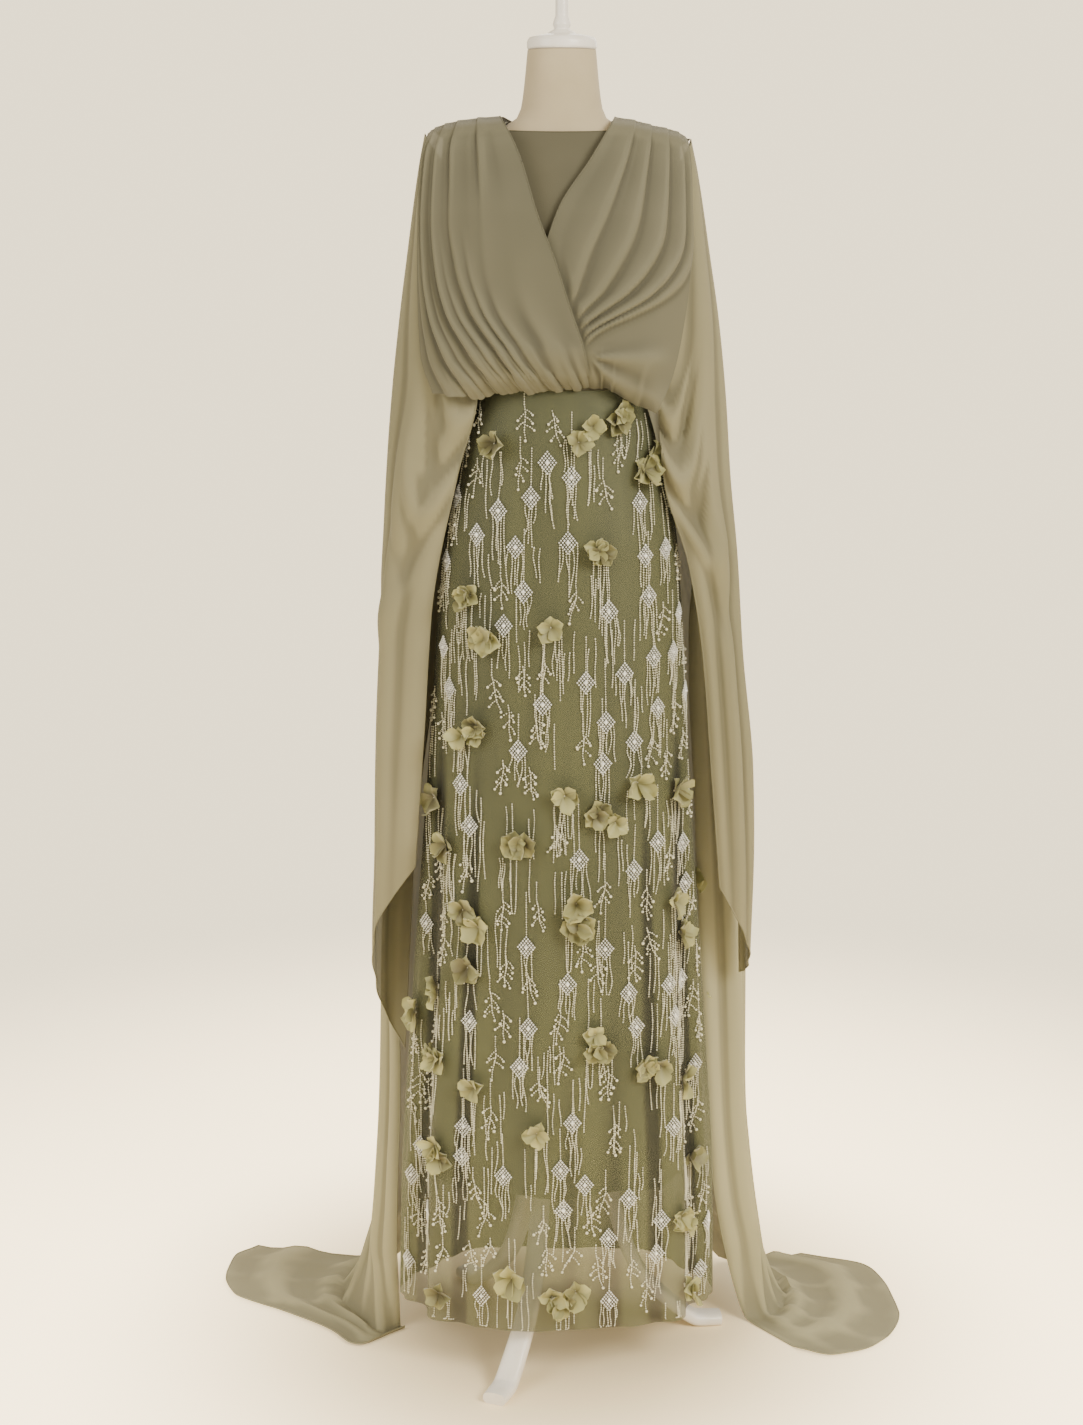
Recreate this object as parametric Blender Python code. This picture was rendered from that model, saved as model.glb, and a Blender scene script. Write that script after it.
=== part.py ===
"""Maxi dress with a crossed, pleated blouse, cape sleeves and trains, on a limbless dress form.

Metres, +Z up, the front of the dress faces -Y and the wearer's left is at +X.
Every y below is measured from the stand's axis. The whole part hangs on one empty,
which moves that axis back so that the origin is under the middle of the part.
Cloth pieces are walls between two grids of points, worked out from the section
tables, and lie a seam's gap apart where they are sewn together.
"""

import math

import bmesh
import bpy
import numpy as np

# Driving sizes
AXIS_Y = -0.030
WALL = 0.0016
NET_WALL = 0.0015
TRAIN_WALL = 0.0018
SEAM_GAP = 0.0003
SECTION_POWER = 2.2

WAIST_Z = 1.4100
NECK_FRONT_Z = 1.7480
NECK_SIDE_Z = 1.7592
ARMHOLE_LOW_Z = 1.6000
ARMHOLE_TOP_Z = 1.7370
LINING_HEM_Z = 0.2720
NET_HEM_Z = 0.0690
NET_HEM_DIP = 0.0140
SKIRT_CENTRE_X = -0.0050
BODICE_CLEAR = 0.0038
LINING_INSET_TOP = 0.0062
NET_INSET_TOP = 0.0041
LINING_INSET_HEM = 0.0300
FLOWER_HEIGHT = 0.0130
SEAM_DEGREES = 0.12
ARMHOLE_DEGREES = 12.0
NECK_CURVE = {"from": 0.45, "over": 0.5}

CAP_TOP_Z = 1.9580
POLE_RADIUS = 0.0125
HUB_RADIUS = 0.0310
HUB_TOP_Z = 0.4000
HUB_BOTTOM_Z = 0.3200

# Colours as linear red, green, blue
CHIFFON = (0.333, 0.292, 0.196)
CREPE = (0.250, 0.219, 0.141)
LINING = (0.180, 0.165, 0.085)
NET = (0.205, 0.190, 0.095)
FORM_CLOTH = (0.600, 0.520, 0.400)
PAINTED_WOOD = (0.830, 0.810, 0.770)


def table(columns, *rows):
    """A short table: each named column as an array, in the order of the rows."""
    return {name: np.array(values, float) for name, values in zip(columns.split(), zip(*rows))}


# The form's body, from the neck down to its rounded underside
TORSO = table(
    "height half_width front back",
    (1.8575, 0.0460, 0.0460, 0.0460),
    (1.8000, 0.0520, 0.0500, 0.0500),
    (1.7780, 0.0560, 0.0530, 0.0530),
    (1.7640, 0.0650, 0.0550, 0.0560),
    (1.7540, 0.0850, 0.0560, 0.0600),
    (1.7440, 0.1150, 0.0590, 0.0660),
    (1.7260, 0.1420, 0.0650, 0.0730),
    (1.6950, 0.1530, 0.0780, 0.0820),
    (1.6200, 0.1450, 0.1020, 0.0860),
    (1.5600, 0.1360, 0.1040, 0.0830),
    (1.4800, 0.1160, 0.0870, 0.0720),
    (1.4100, 0.1040, 0.0770, 0.0660),
    (1.3400, 0.1120, 0.0840, 0.0780),
    (1.2100, 0.1400, 0.0940, 0.0990),
    (1.0800, 0.1400, 0.0920, 0.0980),
    (1.0050, 0.1300, 0.0840, 0.0900),
    (0.9850, 0.1080, 0.0660, 0.0710),
)

# The skirt's outer section, from the waist seam down to the hem
SKIRT = table(
    "height half_width front back",
    (1.4100, 0.1140, 0.0870, 0.0760),
    (1.3500, 0.1290, 0.0960, 0.0920),
    (1.2900, 0.1410, 0.1040, 0.1060),
    (1.2050, 0.1620, 0.1120, 0.1190),
    (1.1100, 0.1700, 0.1180, 0.1240),
    (0.9300, 0.1800, 0.1270, 0.1310),
    (0.7000, 0.1930, 0.1380, 0.1420),
    (0.4700, 0.2070, 0.1500, 0.1560),
    (0.2700, 0.2200, 0.1590, 0.1690),
    (0.0550, 0.2250, 0.1670, 0.1790),
)

# Upright folds of the net: where round the skirt, how deep, how wide, where they start
NET_FOLDS = table(
    "degrees depth width start",
    (-49.0, 0.0110, 9.0, 1.1500),
    (-66.0, -0.0150, 10.0, 1.1000),
    (-88.0, 0.0090, 12.0, 1.2000),
    (48.0, 0.0110, 9.0, 1.0500),
    (66.0, -0.0150, 10.0, 1.1500),
    (88.0, 0.0090, 12.0, 1.1000),
    (-14.0, 0.0050, 10.0, 0.8000),
    (17.0, -0.0050, 9.0, 0.7000),
    (118.0, -0.0110, 12.0, 1.0000),
    (147.0, 0.0110, 12.0, 1.1000),
    (178.0, -0.0080, 12.0, 0.9000),
    (-119.0, -0.0110, 12.0, 1.0500),
    (-150.0, 0.0110, 12.0, 0.9500),
)

# The blouse's reach in front of and behind the shoulder seam, by the share of the way down
BLOUSE = table(
    "share front back",
    (0.0000, 0.0006, 0.0006),
    (0.0300, 0.0560, 0.0560),
    (0.0650, 0.0720, 0.0780),
    (0.1100, 0.0830, 0.0890),
    (0.2000, 0.0940, 0.0980),
    (0.3500, 0.1110, 0.1040),
    (0.5500, 0.1200, 0.1050),
    (0.7000, 0.1220, 0.1010),
    (0.8500, 0.1220, 0.0940),
    (0.9400, 0.1100, 0.0850),
    (1.0000, 0.0850, 0.0738),
)
BLOUSE_HALF_WIDTH = 0.2050
BLOUSE_BACK_Z = WAIST_Z + 2 * SEAM_GAP
BLOUSE_BACK = table(
    "share outer inner",
    (0.0000, 0.1740, 0.0780),
    (0.1100, 0.1500, 0.0000),
    (0.4500, 0.1500, 0.0000),
    (0.7200, 0.1340, 0.0000),
    (1.0000, 0.1160, 0.0000),
)
BACK_PLEAT_HEIGHT = 0.0030
LOOSE_REACH = 0.1180
LOOSE_FROM = {"aside": 0.1000, "over": 0.0500, "share": 0.8, "share_over": 0.1}
WRAP_LAYER = 0.0055
WRAP_LAYER_AT_WAIST = 0.0040

# The shoulder seams, from the neck out to the end of each shoulder
SHOULDER_RIGHT = table(
    "aside height",
    (0.0830, 1.7706),
    (0.1130, 1.7680),
    (0.1400, 1.7640),
    (0.1570, 1.7600),
    (0.1700, 1.7550),
    (0.1800, 1.7480),
)
SHOULDER_LEFT = table(
    "aside height",
    (0.0720, 1.7706),
    (0.0990, 1.7656),
    (0.1200, 1.7600),
    (0.1420, 1.7550),
    (0.1580, 1.7500),
    (0.1700, 1.7420),
)

# The over wrap's pleat lines: x of each line at a share of the way down
OVER_WRAP = table(
    "share edge first second third fourth side",
    (0.0000, -0.0830, -0.1130, -0.1400, -0.1570, -0.1700, -0.1800),
    (0.1500, -0.0560, -0.1080, -0.1450, -0.1650, -0.1780, -0.1870),
    (0.3500, -0.0340, -0.1020, -0.1450, -0.1680, -0.1810, -0.1890),
    (0.5500, -0.0070, -0.0960, -0.1350, -0.1610, -0.1770, -0.1900),
    (0.7000, 0.0100, -0.0820, -0.1170, -0.1480, -0.1690, -0.1890),
    (0.8500, 0.0280, -0.0500, -0.0830, -0.1180, -0.1500, -0.1860),
    (1.0000, 0.0400, -0.0100, -0.0430, -0.0780, -0.1180, -0.1720),
)
OVER_WRAP_HEM = table(
    "line bottom",
    (0.0, 1.4170),
    (0.2, 1.4170),
    (0.4, 1.4150),
    (0.6, 1.4110),
    (0.8, 1.4040),
    (1.0, 1.4020),
)
OVER_WRAP_PLEATS = {"count": 6, "height": 0.0055, "from": 0.0}

# The under wrap's pleat lines, which gather where the over wrap crosses it
UNDER_WRAP = table(
    "share edge first second third fourth side",
    (0.0000, 0.0720, 0.0990, 0.1200, 0.1420, 0.1580, 0.1700),
    (0.1500, 0.0400, 0.0840, 0.1120, 0.1400, 0.1610, 0.1740),
    (0.3500, -0.0060, 0.0560, 0.0980, 0.1340, 0.1600, 0.1750),
    (0.5500, -0.0250, 0.0220, 0.0700, 0.1140, 0.1460, 0.1700),
    (0.7000, -0.0220, 0.0060, 0.0460, 0.0870, 0.1240, 0.1620),
    (0.8500, -0.0120, 0.0080, 0.0320, 0.0610, 0.0960, 0.1500),
    (1.0000, 0.0000, 0.0170, 0.0370, 0.0600, 0.0880, 0.1280),
)
UNDER_WRAP_HEM = table(
    "line bottom",
    (0.0, 1.4180),
    (0.2, 1.4170),
    (0.4, 1.4150),
    (0.6, 1.4100),
    (0.8, 1.4000),
    (1.0, 1.3780),
)
UNDER_WRAP_PLEATS = {"count": 6, "height": 0.0055, "from": 0.55}

# The empty sleeves: the middle of each flat tube, its half thickness and half depth,
# and how much higher its outer side stands than its inner side
SLEEVE = table(
    "height middle half_thickness half_depth tilt",
    (1.6700, 0.1632, 0.0124, 0.0300, 0.0420),
    (1.6000, 0.1850, 0.0100, 0.0310, 0.0120),
    (1.5200, 0.1980, 0.0100, 0.0330, 0.0000),
    (1.4000, 0.2100, 0.0105, 0.0360, 0.0000),
    (1.2700, 0.2190, 0.0120, 0.0370, 0.0000),
    (1.1400, 0.2270, 0.0130, 0.0380, 0.0000),
)
SLEEVE_MIDDLE_Y = 0.0120
SLEEVE_LEFT_SHIFT = -0.0080
SLEEVE_SEAT = 0.0060

# Plan sections of the capes and trains. Each runs from its front edge round a side point
# to its back edge. Distances to the side are from the middle, so both sides read alike.
SECTION_COLUMNS = "height front_x front_y side_x side_y back_x back_y"
CAPE_RIGHT = table(
    SECTION_COLUMNS,
    (1.7490, 0.1560, -0.0300, 0.1846, 0.0040, 0.1560, 0.0400),
    (1.7000, 0.1560, -0.0400, 0.1930, 0.0060, 0.1620, 0.0560),
    (1.5900, 0.1500, -0.0460, 0.2080, 0.0080, 0.1640, 0.0640),
    (1.5000, 0.1360, -0.0540, 0.2200, 0.0080, 0.1620, 0.0760),
    (1.4100, 0.1140, -0.0660, 0.2300, 0.0080, 0.1500, 0.0940),
    (1.2900, 0.1430, -0.0640, 0.2390, 0.0080, 0.1560, 0.1080),
    (1.1100, 0.1790, -0.0520, 0.2500, 0.0080, 0.1700, 0.1160),
    (0.9300, 0.1920, -0.0500, 0.2600, 0.0060, 0.1900, 0.1100),
    (0.7500, 0.2060, -0.0460, 0.2650, 0.0040, 0.2130, 0.0880),
    (0.5900, 0.2180, -0.0420, 0.2720, 0.0000, 0.2220, 0.0660),
    (0.4300, 0.2300, -0.0380, 0.2680, 0.0000, 0.2300, 0.0520),
)
CAPE_RIGHT_HEM = table(
    "share height",
    (0.0000, 0.7350),
    (0.2500, 0.6600),
    (0.5000, 0.5750),
    (0.8000, 0.4800),
    (1.0000, 0.4300),
)
CAPE_LEFT = table(
    SECTION_COLUMNS,
    (1.7420, 0.1500, -0.0300, 0.1750, 0.0040, 0.1500, 0.0400),
    (1.6900, 0.1500, -0.0400, 0.1850, 0.0060, 0.1600, 0.0580),
    (1.5900, 0.1480, -0.0460, 0.2000, 0.0080, 0.1620, 0.0640),
    (1.5000, 0.1420, -0.0480, 0.2130, 0.0080, 0.1580, 0.0680),
    (1.3900, 0.1330, -0.0500, 0.2240, 0.0080, 0.1660, 0.0780),
    (1.2900, 0.1400, -0.0600, 0.2310, 0.0080, 0.1860, 0.0820),
    (1.1700, 0.1760, -0.0520, 0.2430, 0.0080, 0.2120, 0.0760),
    (1.0400, 0.1980, -0.0440, 0.2520, 0.0060, 0.2340, 0.0620),
    (0.8700, 0.2130, -0.0360, 0.2700, 0.0040, 0.2500, 0.0560),
    (0.7100, 0.2270, -0.0280, 0.2760, 0.0040, 0.2600, 0.0500),
    (0.5500, 0.2400, -0.0200, 0.2740, 0.0040, 0.2640, 0.0440),
)
CAPE_LEFT_HEM = table(
    "share height",
    (0.0000, 0.7000),
    (0.2500, 0.6400),
    (0.5000, 0.5900),
    (0.8000, 0.5600),
    (1.0000, 0.5500),
)
TRAIN_RIGHT = table(
    SECTION_COLUMNS,
    (1.6600, 0.1820, 0.0860, 0.1790, 0.0980, 0.0760, 0.1170),
    (1.6000, 0.1940, 0.0880, 0.1910, 0.1060, 0.0720, 0.1270),
    (1.4000, 0.2230, 0.0900, 0.2260, 0.1180, 0.0900, 0.1520),
    (1.1000, 0.2380, 0.1000, 0.2420, 0.1350, 0.1150, 0.1800),
    (0.8000, 0.2460, 0.1040, 0.2520, 0.1380, 0.1350, 0.1950),
    (0.5500, 0.2420, 0.0920, 0.2610, 0.1280, 0.1500, 0.2030),
    (0.3600, 0.2380, 0.0620, 0.2650, 0.1100, 0.1650, 0.2080),
    (0.2200, 0.2420, 0.0330, 0.2730, 0.0980, 0.1820, 0.2130),
    (0.1200, 0.2440, 0.0220, 0.2840, 0.0980, 0.2000, 0.2180),
)
TRAIN_LEFT = table(
    SECTION_COLUMNS,
    (1.6600, 0.1760, 0.0860, 0.1730, 0.0980, 0.0760, 0.1170),
    (1.6000, 0.1880, 0.0880, 0.1850, 0.1060, 0.0720, 0.1270),
    (1.4000, 0.2040, 0.1020, 0.2120, 0.1240, 0.0900, 0.1520),
    (1.2500, 0.2080, 0.1060, 0.2260, 0.1300, 0.1020, 0.1660),
    (1.1000, 0.1880, 0.0840, 0.2370, 0.1320, 0.1150, 0.1800),
    (1.0400, 0.1850, 0.0720, 0.2420, 0.1300, 0.1200, 0.1840),
    (0.8000, 0.1960, 0.0600, 0.2580, 0.1220, 0.1350, 0.1950),
    (0.5500, 0.2080, 0.0520, 0.2720, 0.1100, 0.1500, 0.2030),
    (0.3600, 0.2180, 0.0450, 0.2740, 0.1020, 0.1650, 0.2080),
    (0.2200, 0.2300, 0.0420, 0.2860, 0.0980, 0.1820, 0.2130),
    (0.1200, 0.2480, 0.0440, 0.3010, 0.0960, 0.2000, 0.2180),
)
TRAIN_TOP = table(
    "share lift",
    (0.0120, 0.0024),
    (0.0300, 0.0024),
    (0.0650, 0.0034),
    (0.1100, 0.0064),
)
TRAIN_YOKE = {"outer": 0.1600, "inner": 0.0880}
CAPE_POWER = 0.8
CAPE_TOP_POWER = 0.6
CAPE_WAVES = {"count": 1.5, "depth": 0.004, "phase": 0.4, "from": 1.5500, "over": 0.5}
TRAIN_WAVES = {"count": 3.0, "depth": 0.007, "phase": 0.0, "from": 1.6000, "over": 0.7}
FLOOR_WAVES = {"count": 3.2, "height": 0.016, "phase": 0.6}
LANDING_REACH = 0.12

# Where each train meets the floor and where its hem lies, from its front edge to its back edge
FLOOR_COLUMNS = "share land_x land_y hem_x hem_y"
FLOOR_RIGHT = table(
    FLOOR_COLUMNS,
    (0.00, 0.2420, 0.0140, 0.2330, 0.0060),
    (0.08, 0.2510, 0.0050, 0.2570, -0.0150),
    (0.16, 0.2620, -0.0010, 0.2980, -0.0520),
    (0.30, 0.2860, 0.0210, 0.3450, -0.0020),
    (0.44, 0.3060, 0.0530, 0.4200, 0.0580),
    (0.58, 0.3180, 0.0930, 0.5010, 0.1150),
    (0.72, 0.3160, 0.1360, 0.5240, 0.1850),
    (0.86, 0.3000, 0.1860, 0.5200, 0.2480),
    (1.00, 0.2480, 0.2430, 0.4860, 0.2920),
)
FLOOR_LEFT = table(
    FLOOR_COLUMNS,
    (0.00, 0.2760, 0.0440, 0.3540, -0.0650),
    (0.16, 0.2960, 0.0500, 0.4000, -0.0840),
    (0.30, 0.3120, 0.0640, 0.4500, -0.0660),
    (0.44, 0.3220, 0.0860, 0.4930, -0.0200),
    (0.58, 0.3260, 0.1130, 0.5170, 0.0560),
    (0.72, 0.3200, 0.1460, 0.5120, 0.1350),
    (0.86, 0.3000, 0.1880, 0.4920, 0.2130),
    (1.00, 0.2480, 0.2430, 0.3900, 0.2620),
)

# A leg of the stand along its own direction
LEG = table(
    "reach height width thickness",
    (0.0313, 0.3560, 0.0250, 0.0260),
    (0.0480, 0.3470, 0.0250, 0.0260),
    (0.0620, 0.3160, 0.0260, 0.0250),
    (0.0740, 0.2400, 0.0270, 0.0240),
    (0.0920, 0.1600, 0.0290, 0.0230),
    (0.1220, 0.0900, 0.0310, 0.0220),
    (0.1680, 0.0400, 0.0340, 0.0210),
    (0.2080, 0.0100, 0.0360, 0.0200),
    (0.2260, 0.0085, 0.0360, 0.0195),
    (0.2450, 0.0080, 0.0340, 0.0190),
)
LEG_ROUNDING = 0.7
LEG_DEGREES = {"leg_front": -22.6, "leg_left": 97.4, "leg_rear": 217.4}

# The turned cap on the neck, with its ball and plain rod
CAP = table(
    "radius height",
    (0.0000, 1.8578),
    (0.0450, 1.8578),
    (0.0468, 1.8610),
    (0.0468, 1.8690),
    (0.0435, 1.8745),
    (0.0190, 1.8790),
    (0.0165, 1.8815),
    (0.0100, 1.8850),
    (0.0123, 1.8910),
    (0.0100, 1.8985),
    (0.0086, 1.9020),
    (0.0086, 1.9480),
    (0.0052, 1.9555),
    (0.0000, CAP_TOP_Z),
)

# Where each piece's rows of points lie, as heights or as shares of the way down
BODICE_ROWS = (1.0, 0.94, 0.88, 0.82, 0.72, 0.58, 0.42, 0.22, 0.0)
SLEEVE_ROWS = (1.670, 1.635, 1.590, 1.520, 1.430, 1.330, 1.230, 1.140)
WRAP_ROWS = (0, 0.03, 0.08, 0.15, 0.24, 0.34, 0.45, 0.56, 0.67, 0.77, 0.86, 0.94, 1.0)
BLOUSE_BACK_ROWS = (0, 0.03, 0.065, 0.11, 0.2, 0.35, 0.52, 0.7, 0.86, 1.0)
BEND_STEPS = (0.3, 0.6, 0.85)
FLOOR_STEPS = (0.16, 0.34, 0.56, 0.80, 1.0)
SKIRT_FACES = (("front", 0.0, 33, 15), ("back", 180.0, 26, 13))


def smooth_at(keys, values, wanted):
    """Values between a table's rows, on a curve that never overshoots them."""
    order = np.argsort(keys)
    x, y = np.asarray(keys)[order], np.asarray(values)[order]
    steps = np.diff(x)
    slopes = np.diff(y) / steps
    ends = np.concatenate(([slopes[0]], np.zeros(len(slopes) - 1), [slopes[-1]]))
    same_way = slopes[:-1] * slopes[1:] > 0
    with np.errstate(divide="ignore", invalid="ignore"):
        harmonic = 2.0 / (1.0 / slopes[:-1] + 1.0 / slopes[1:])
    ends[1:-1] = np.where(same_way, harmonic, 0.0)
    wanted = np.clip(wanted, x[0], x[-1])
    row = np.clip(np.searchsorted(x, wanted) - 1, 0, len(steps) - 1)
    t = (wanted - x[row]) / steps[row]
    rise = steps[row]
    return (y[row] * (2 * t**3 - 3 * t**2 + 1) + ends[row] * rise * (t**3 - 2 * t**2 + t)
            + y[row + 1] * (3 * t**2 - 2 * t**3) + ends[row + 1] * rise * (t**3 - t**2))


def read(rows, column, key, wanted):
    return smooth_at(rows[key], rows[column], wanted)


def ease(value):
    """From 0 to 1 with a soft start and end."""
    value = np.clip(value, 0.0, 1.0)
    return value * value * (3.0 - 2.0 * value)


def section_point(rows, height, degrees, grow=0.0, centre_x=0.0):
    """A point on a body section: 0 degrees is the front, 90 the wearer's left."""
    angle = np.radians(degrees)
    half_width = read(rows, "half_width", "height", height) + grow
    front = read(rows, "front", "height", height) + grow
    back = read(rows, "back", "height", height) + grow
    depth = np.where(np.cos(angle) > 0, front, back)
    power = 2.0 / SECTION_POWER
    x = centre_x + half_width * np.sign(np.sin(angle)) * np.abs(np.sin(angle)) ** power
    y = -depth * np.sign(np.cos(angle)) * np.abs(np.cos(angle)) ** power
    return np.stack(np.broadcast_arrays(x, y, height), axis=-1)


def grid_normals(grid, closed):
    """Unit normals of a grid whose rows run down and whose columns run anticlockwise."""
    if closed:
        across = np.roll(grid, -1, axis=1) - np.roll(grid, 1, axis=1)
    else:
        across = np.gradient(grid, axis=1)
    down = np.gradient(grid, axis=0)
    normals = np.cross(down, across)
    return normals / np.maximum(np.linalg.norm(normals, axis=-1, keepdims=True), 1e-12)


def split_cell(grid, a, b, c, d):
    """Two triangles of a grid's cell, split along its shorter diagonal on both faces of the cloth."""
    if np.linalg.norm(grid[a] - grid[c]) <= np.linalg.norm(grid[b] - grid[d]):
        return (a, b, c), (a, c, d)
    return (a, b, d), (b, c, d)


def cloth_wall(name, grid, thickness, cloth, closed=False, raised=None, floor=None):
    """One closed wall of cloth about a grid of middle points, open at the cloth's edges."""
    normals = grid_normals(grid, closed)
    lift = thickness / 2 if raised is None else thickness / 2 + raised[..., None]
    outer = grid + normals * lift
    inner = grid - normals * thickness / 2
    if floor is not None:
        lies = grid[..., 2] < floor + thickness * 0.6
        inner[..., 2] = np.where(lies, floor, np.maximum(inner[..., 2], floor))
        outer[..., 2] = np.maximum(outer[..., 2], floor + thickness * 0.9)
    rows, columns = grid.shape[:2]
    mesh = bmesh.new()
    verts = [[[mesh.verts.new(side[i, j]) for j in range(columns)] for i in range(rows)]
             for side in (outer, inner)]
    spans = columns if closed else columns - 1
    for i in range(rows - 1):
        for j in range(spans):
            k = (j + 1) % columns
            for corners in split_cell(grid, (i, j), (i + 1, j), (i + 1, k), (i, k)):
                mesh.faces.new([verts[0][row][column] for row, column in corners])
                mesh.faces.new([verts[1][row][column] for row, column in reversed(corners)])
    for i in (0, rows - 1):
        for j in range(spans):
            k = (j + 1) % columns
            mesh.faces.new((verts[0][i][j], verts[0][i][k], verts[1][i][k], verts[1][i][j]))
    if not closed:
        for j in (0, columns - 1):
            for i in range(rows - 1):
                mesh.faces.new((verts[0][i][j], verts[0][i + 1][j],
                                verts[1][i + 1][j], verts[1][i][j]))
    return add_object(name, mesh, cloth)


def solid_from_rings(name, rings, finish):
    """One closed solid through rings of points, with a flat face at each end."""
    mesh = bmesh.new()
    loops = [[mesh.verts.new(point) for point in ring] for ring in rings]
    count = len(loops[0])
    for upper, lower in zip(loops, loops[1:]):
        for j in range(count):
            k = (j + 1) % count
            mesh.faces.new((upper[j], lower[j], lower[k], upper[k]))
    mesh.faces.new(loops[0])
    mesh.faces.new(list(reversed(loops[-1])))
    return add_object(name, mesh, finish)


def turned_solid(name, profile, finish, segments):
    """A solid of revolution about the stand's axis, spun from its profile."""
    mesh = bmesh.new()
    points = [mesh.verts.new((radius, 0.0, height))
              for radius, height in zip(profile["radius"], profile["height"])]
    edges = [mesh.edges.new(pair) for pair in zip(points, points[1:])]
    bmesh.ops.spin(mesh, geom=points + edges, cent=(0, 0, 0), axis=(0, 0, 1),
                   angle=math.tau, steps=segments, use_merge=True)
    bmesh.ops.remove_doubles(mesh, verts=mesh.verts, dist=0.00001)
    return add_object(name, mesh, finish)


def add_object(name, mesh, finish):
    bmesh.ops.recalc_face_normals(mesh, faces=mesh.faces)
    data = bpy.data.meshes.new(name)
    mesh.to_mesh(data)
    mesh.free()
    data.shade_smooth()
    data.set_sharp_from_angle(angle=math.radians(40))
    data.materials.append(finish)
    part = bpy.data.objects.new(name, data)
    bpy.context.scene.collection.objects.link(part)
    return part


def finish_of(name, colour, roughness, sheen=0.0):
    """A Principled material in one colour."""
    material = bpy.data.materials.new(name)
    material.use_nodes = True
    shader = material.node_tree.nodes["Principled BSDF"]
    shader.inputs["Base Color"].default_value = (*colour, 1.0)
    shader.inputs["Roughness"].default_value = roughness
    shader.inputs["Metallic"].default_value = 0.0
    shader.inputs["Sheen Weight"].default_value = sheen
    material.diffuse_color = (*colour, 1.0)
    return material


def build_form(finishes):
    """The smooth torso, its cap, the pole, the hub and three curved legs."""
    degrees = np.arange(0, 360, 360 / 20)
    below = TORSO["height"][TORSO["height"] < 1.69]
    heights = np.concatenate([np.linspace(TORSO["height"][0], 1.775, 3), np.linspace(1.767, 1.695, 8),
                              below, (below[2:5] + below[3:6]) / 2])
    heights = np.sort(heights)[::-1]
    rings = [section_point(TORSO, height, degrees) for height in heights]
    parts = [solid_from_rings("form_torso", rings, finishes["form"])]
    parts.append(turned_solid("neck_cap", CAP, finishes["wood"], 16))
    pole = table("radius height",
                 (0.0, HUB_TOP_Z + SEAM_GAP),
                 (POLE_RADIUS, HUB_TOP_Z + SEAM_GAP),
                 (POLE_RADIUS, TORSO["height"][-1] - SEAM_GAP),
                 (0.0, TORSO["height"][-1] - SEAM_GAP))
    parts.append(turned_solid("stand_pole", pole, finishes["wood"], 16))
    hub = table("radius height",
                (0.0, HUB_BOTTOM_Z),
                (HUB_RADIUS * 0.7, HUB_BOTTOM_Z),
                (HUB_RADIUS, HUB_BOTTOM_Z + 0.010),
                (HUB_RADIUS, HUB_TOP_Z - 0.012),
                (HUB_RADIUS * 0.6, HUB_TOP_Z),
                (0.0, HUB_TOP_Z))
    parts.append(turned_solid("tripod_hub", hub, finishes["wood"], 20))
    for name, turn in LEG_DEGREES.items():
        parts.append(build_leg(name, turn, finishes["wood"]))
    return parts


def build_leg(name, turn, finish):
    """A curved leg with a rounded section and a flat foot."""
    out = np.array([math.sin(math.radians(turn)), -math.cos(math.radians(turn)), 0.0])
    side = np.array([-out[1], out[0], 0.0])
    share = np.linspace(0, 1, 12)
    key = np.linspace(0, 1, len(LEG["reach"]))
    reach, height, width, thick = (smooth_at(key, LEG[column], share)
                                   for column in ("reach", "height", "width", "thickness"))
    path = reach[:, None] * out + height[:, None] * np.array([0.0, 0.0, 1.0])
    along = np.gradient(path, axis=0)
    along /= np.linalg.norm(along, axis=1, keepdims=True)
    along[0] = out
    up = np.cross(side, along)
    angles = np.radians(np.arange(0, 360, 45) + 22.5)
    rings = []
    for k in range(len(share)):
        across = rounded(np.cos(angles), LEG_ROUNDING) * width[k] / 2
        rise = rounded(np.sin(angles), LEG_ROUNDING) * thick[k] / 2
        ring = path[k] + across[:, None] * side + rise[:, None] * up[k]
        ring[:, 2] = np.maximum(ring[:, 2], 0.0)
        rings.append(ring)
    return solid_from_rings(name, rings, finish)


def build_bodice(finishes):
    """The close under bodice with its jewel neck, in a front and a back."""
    parts = []
    for name, middle in (("bodice_front", 0.0), ("bodice_back", 180.0)):
        turn = np.linspace(-1, 1, 15)[None, :]
        share = np.array(BODICE_ROWS)[:, None]
        neck = NECK_FRONT_Z if middle == 0 else NECK_SIDE_Z - 0.004
        top = neck + (NECK_SIDE_Z - neck) * ease((np.abs(turn) - NECK_CURVE["from"]) / NECK_CURVE["over"])
        height = WAIST_Z + (top - WAIST_Z) * share
        opening = ease((height - ARMHOLE_LOW_Z) / 0.05) * ease((ARMHOLE_TOP_Z - height) / 0.03)
        degrees = middle + turn * (90.0 - ARMHOLE_DEGREES * opening - SEAM_DEGREES)
        grid = section_point(TORSO, height, degrees)
        grid = grid + grid_normals(grid, False) * (BODICE_CLEAR + WALL / 2)
        grid[-1, :, 2] = WAIST_Z + 2 * SEAM_GAP
        parts.append(cloth_wall(name, grid, WALL, finishes["crepe"]))
    return parts


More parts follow.
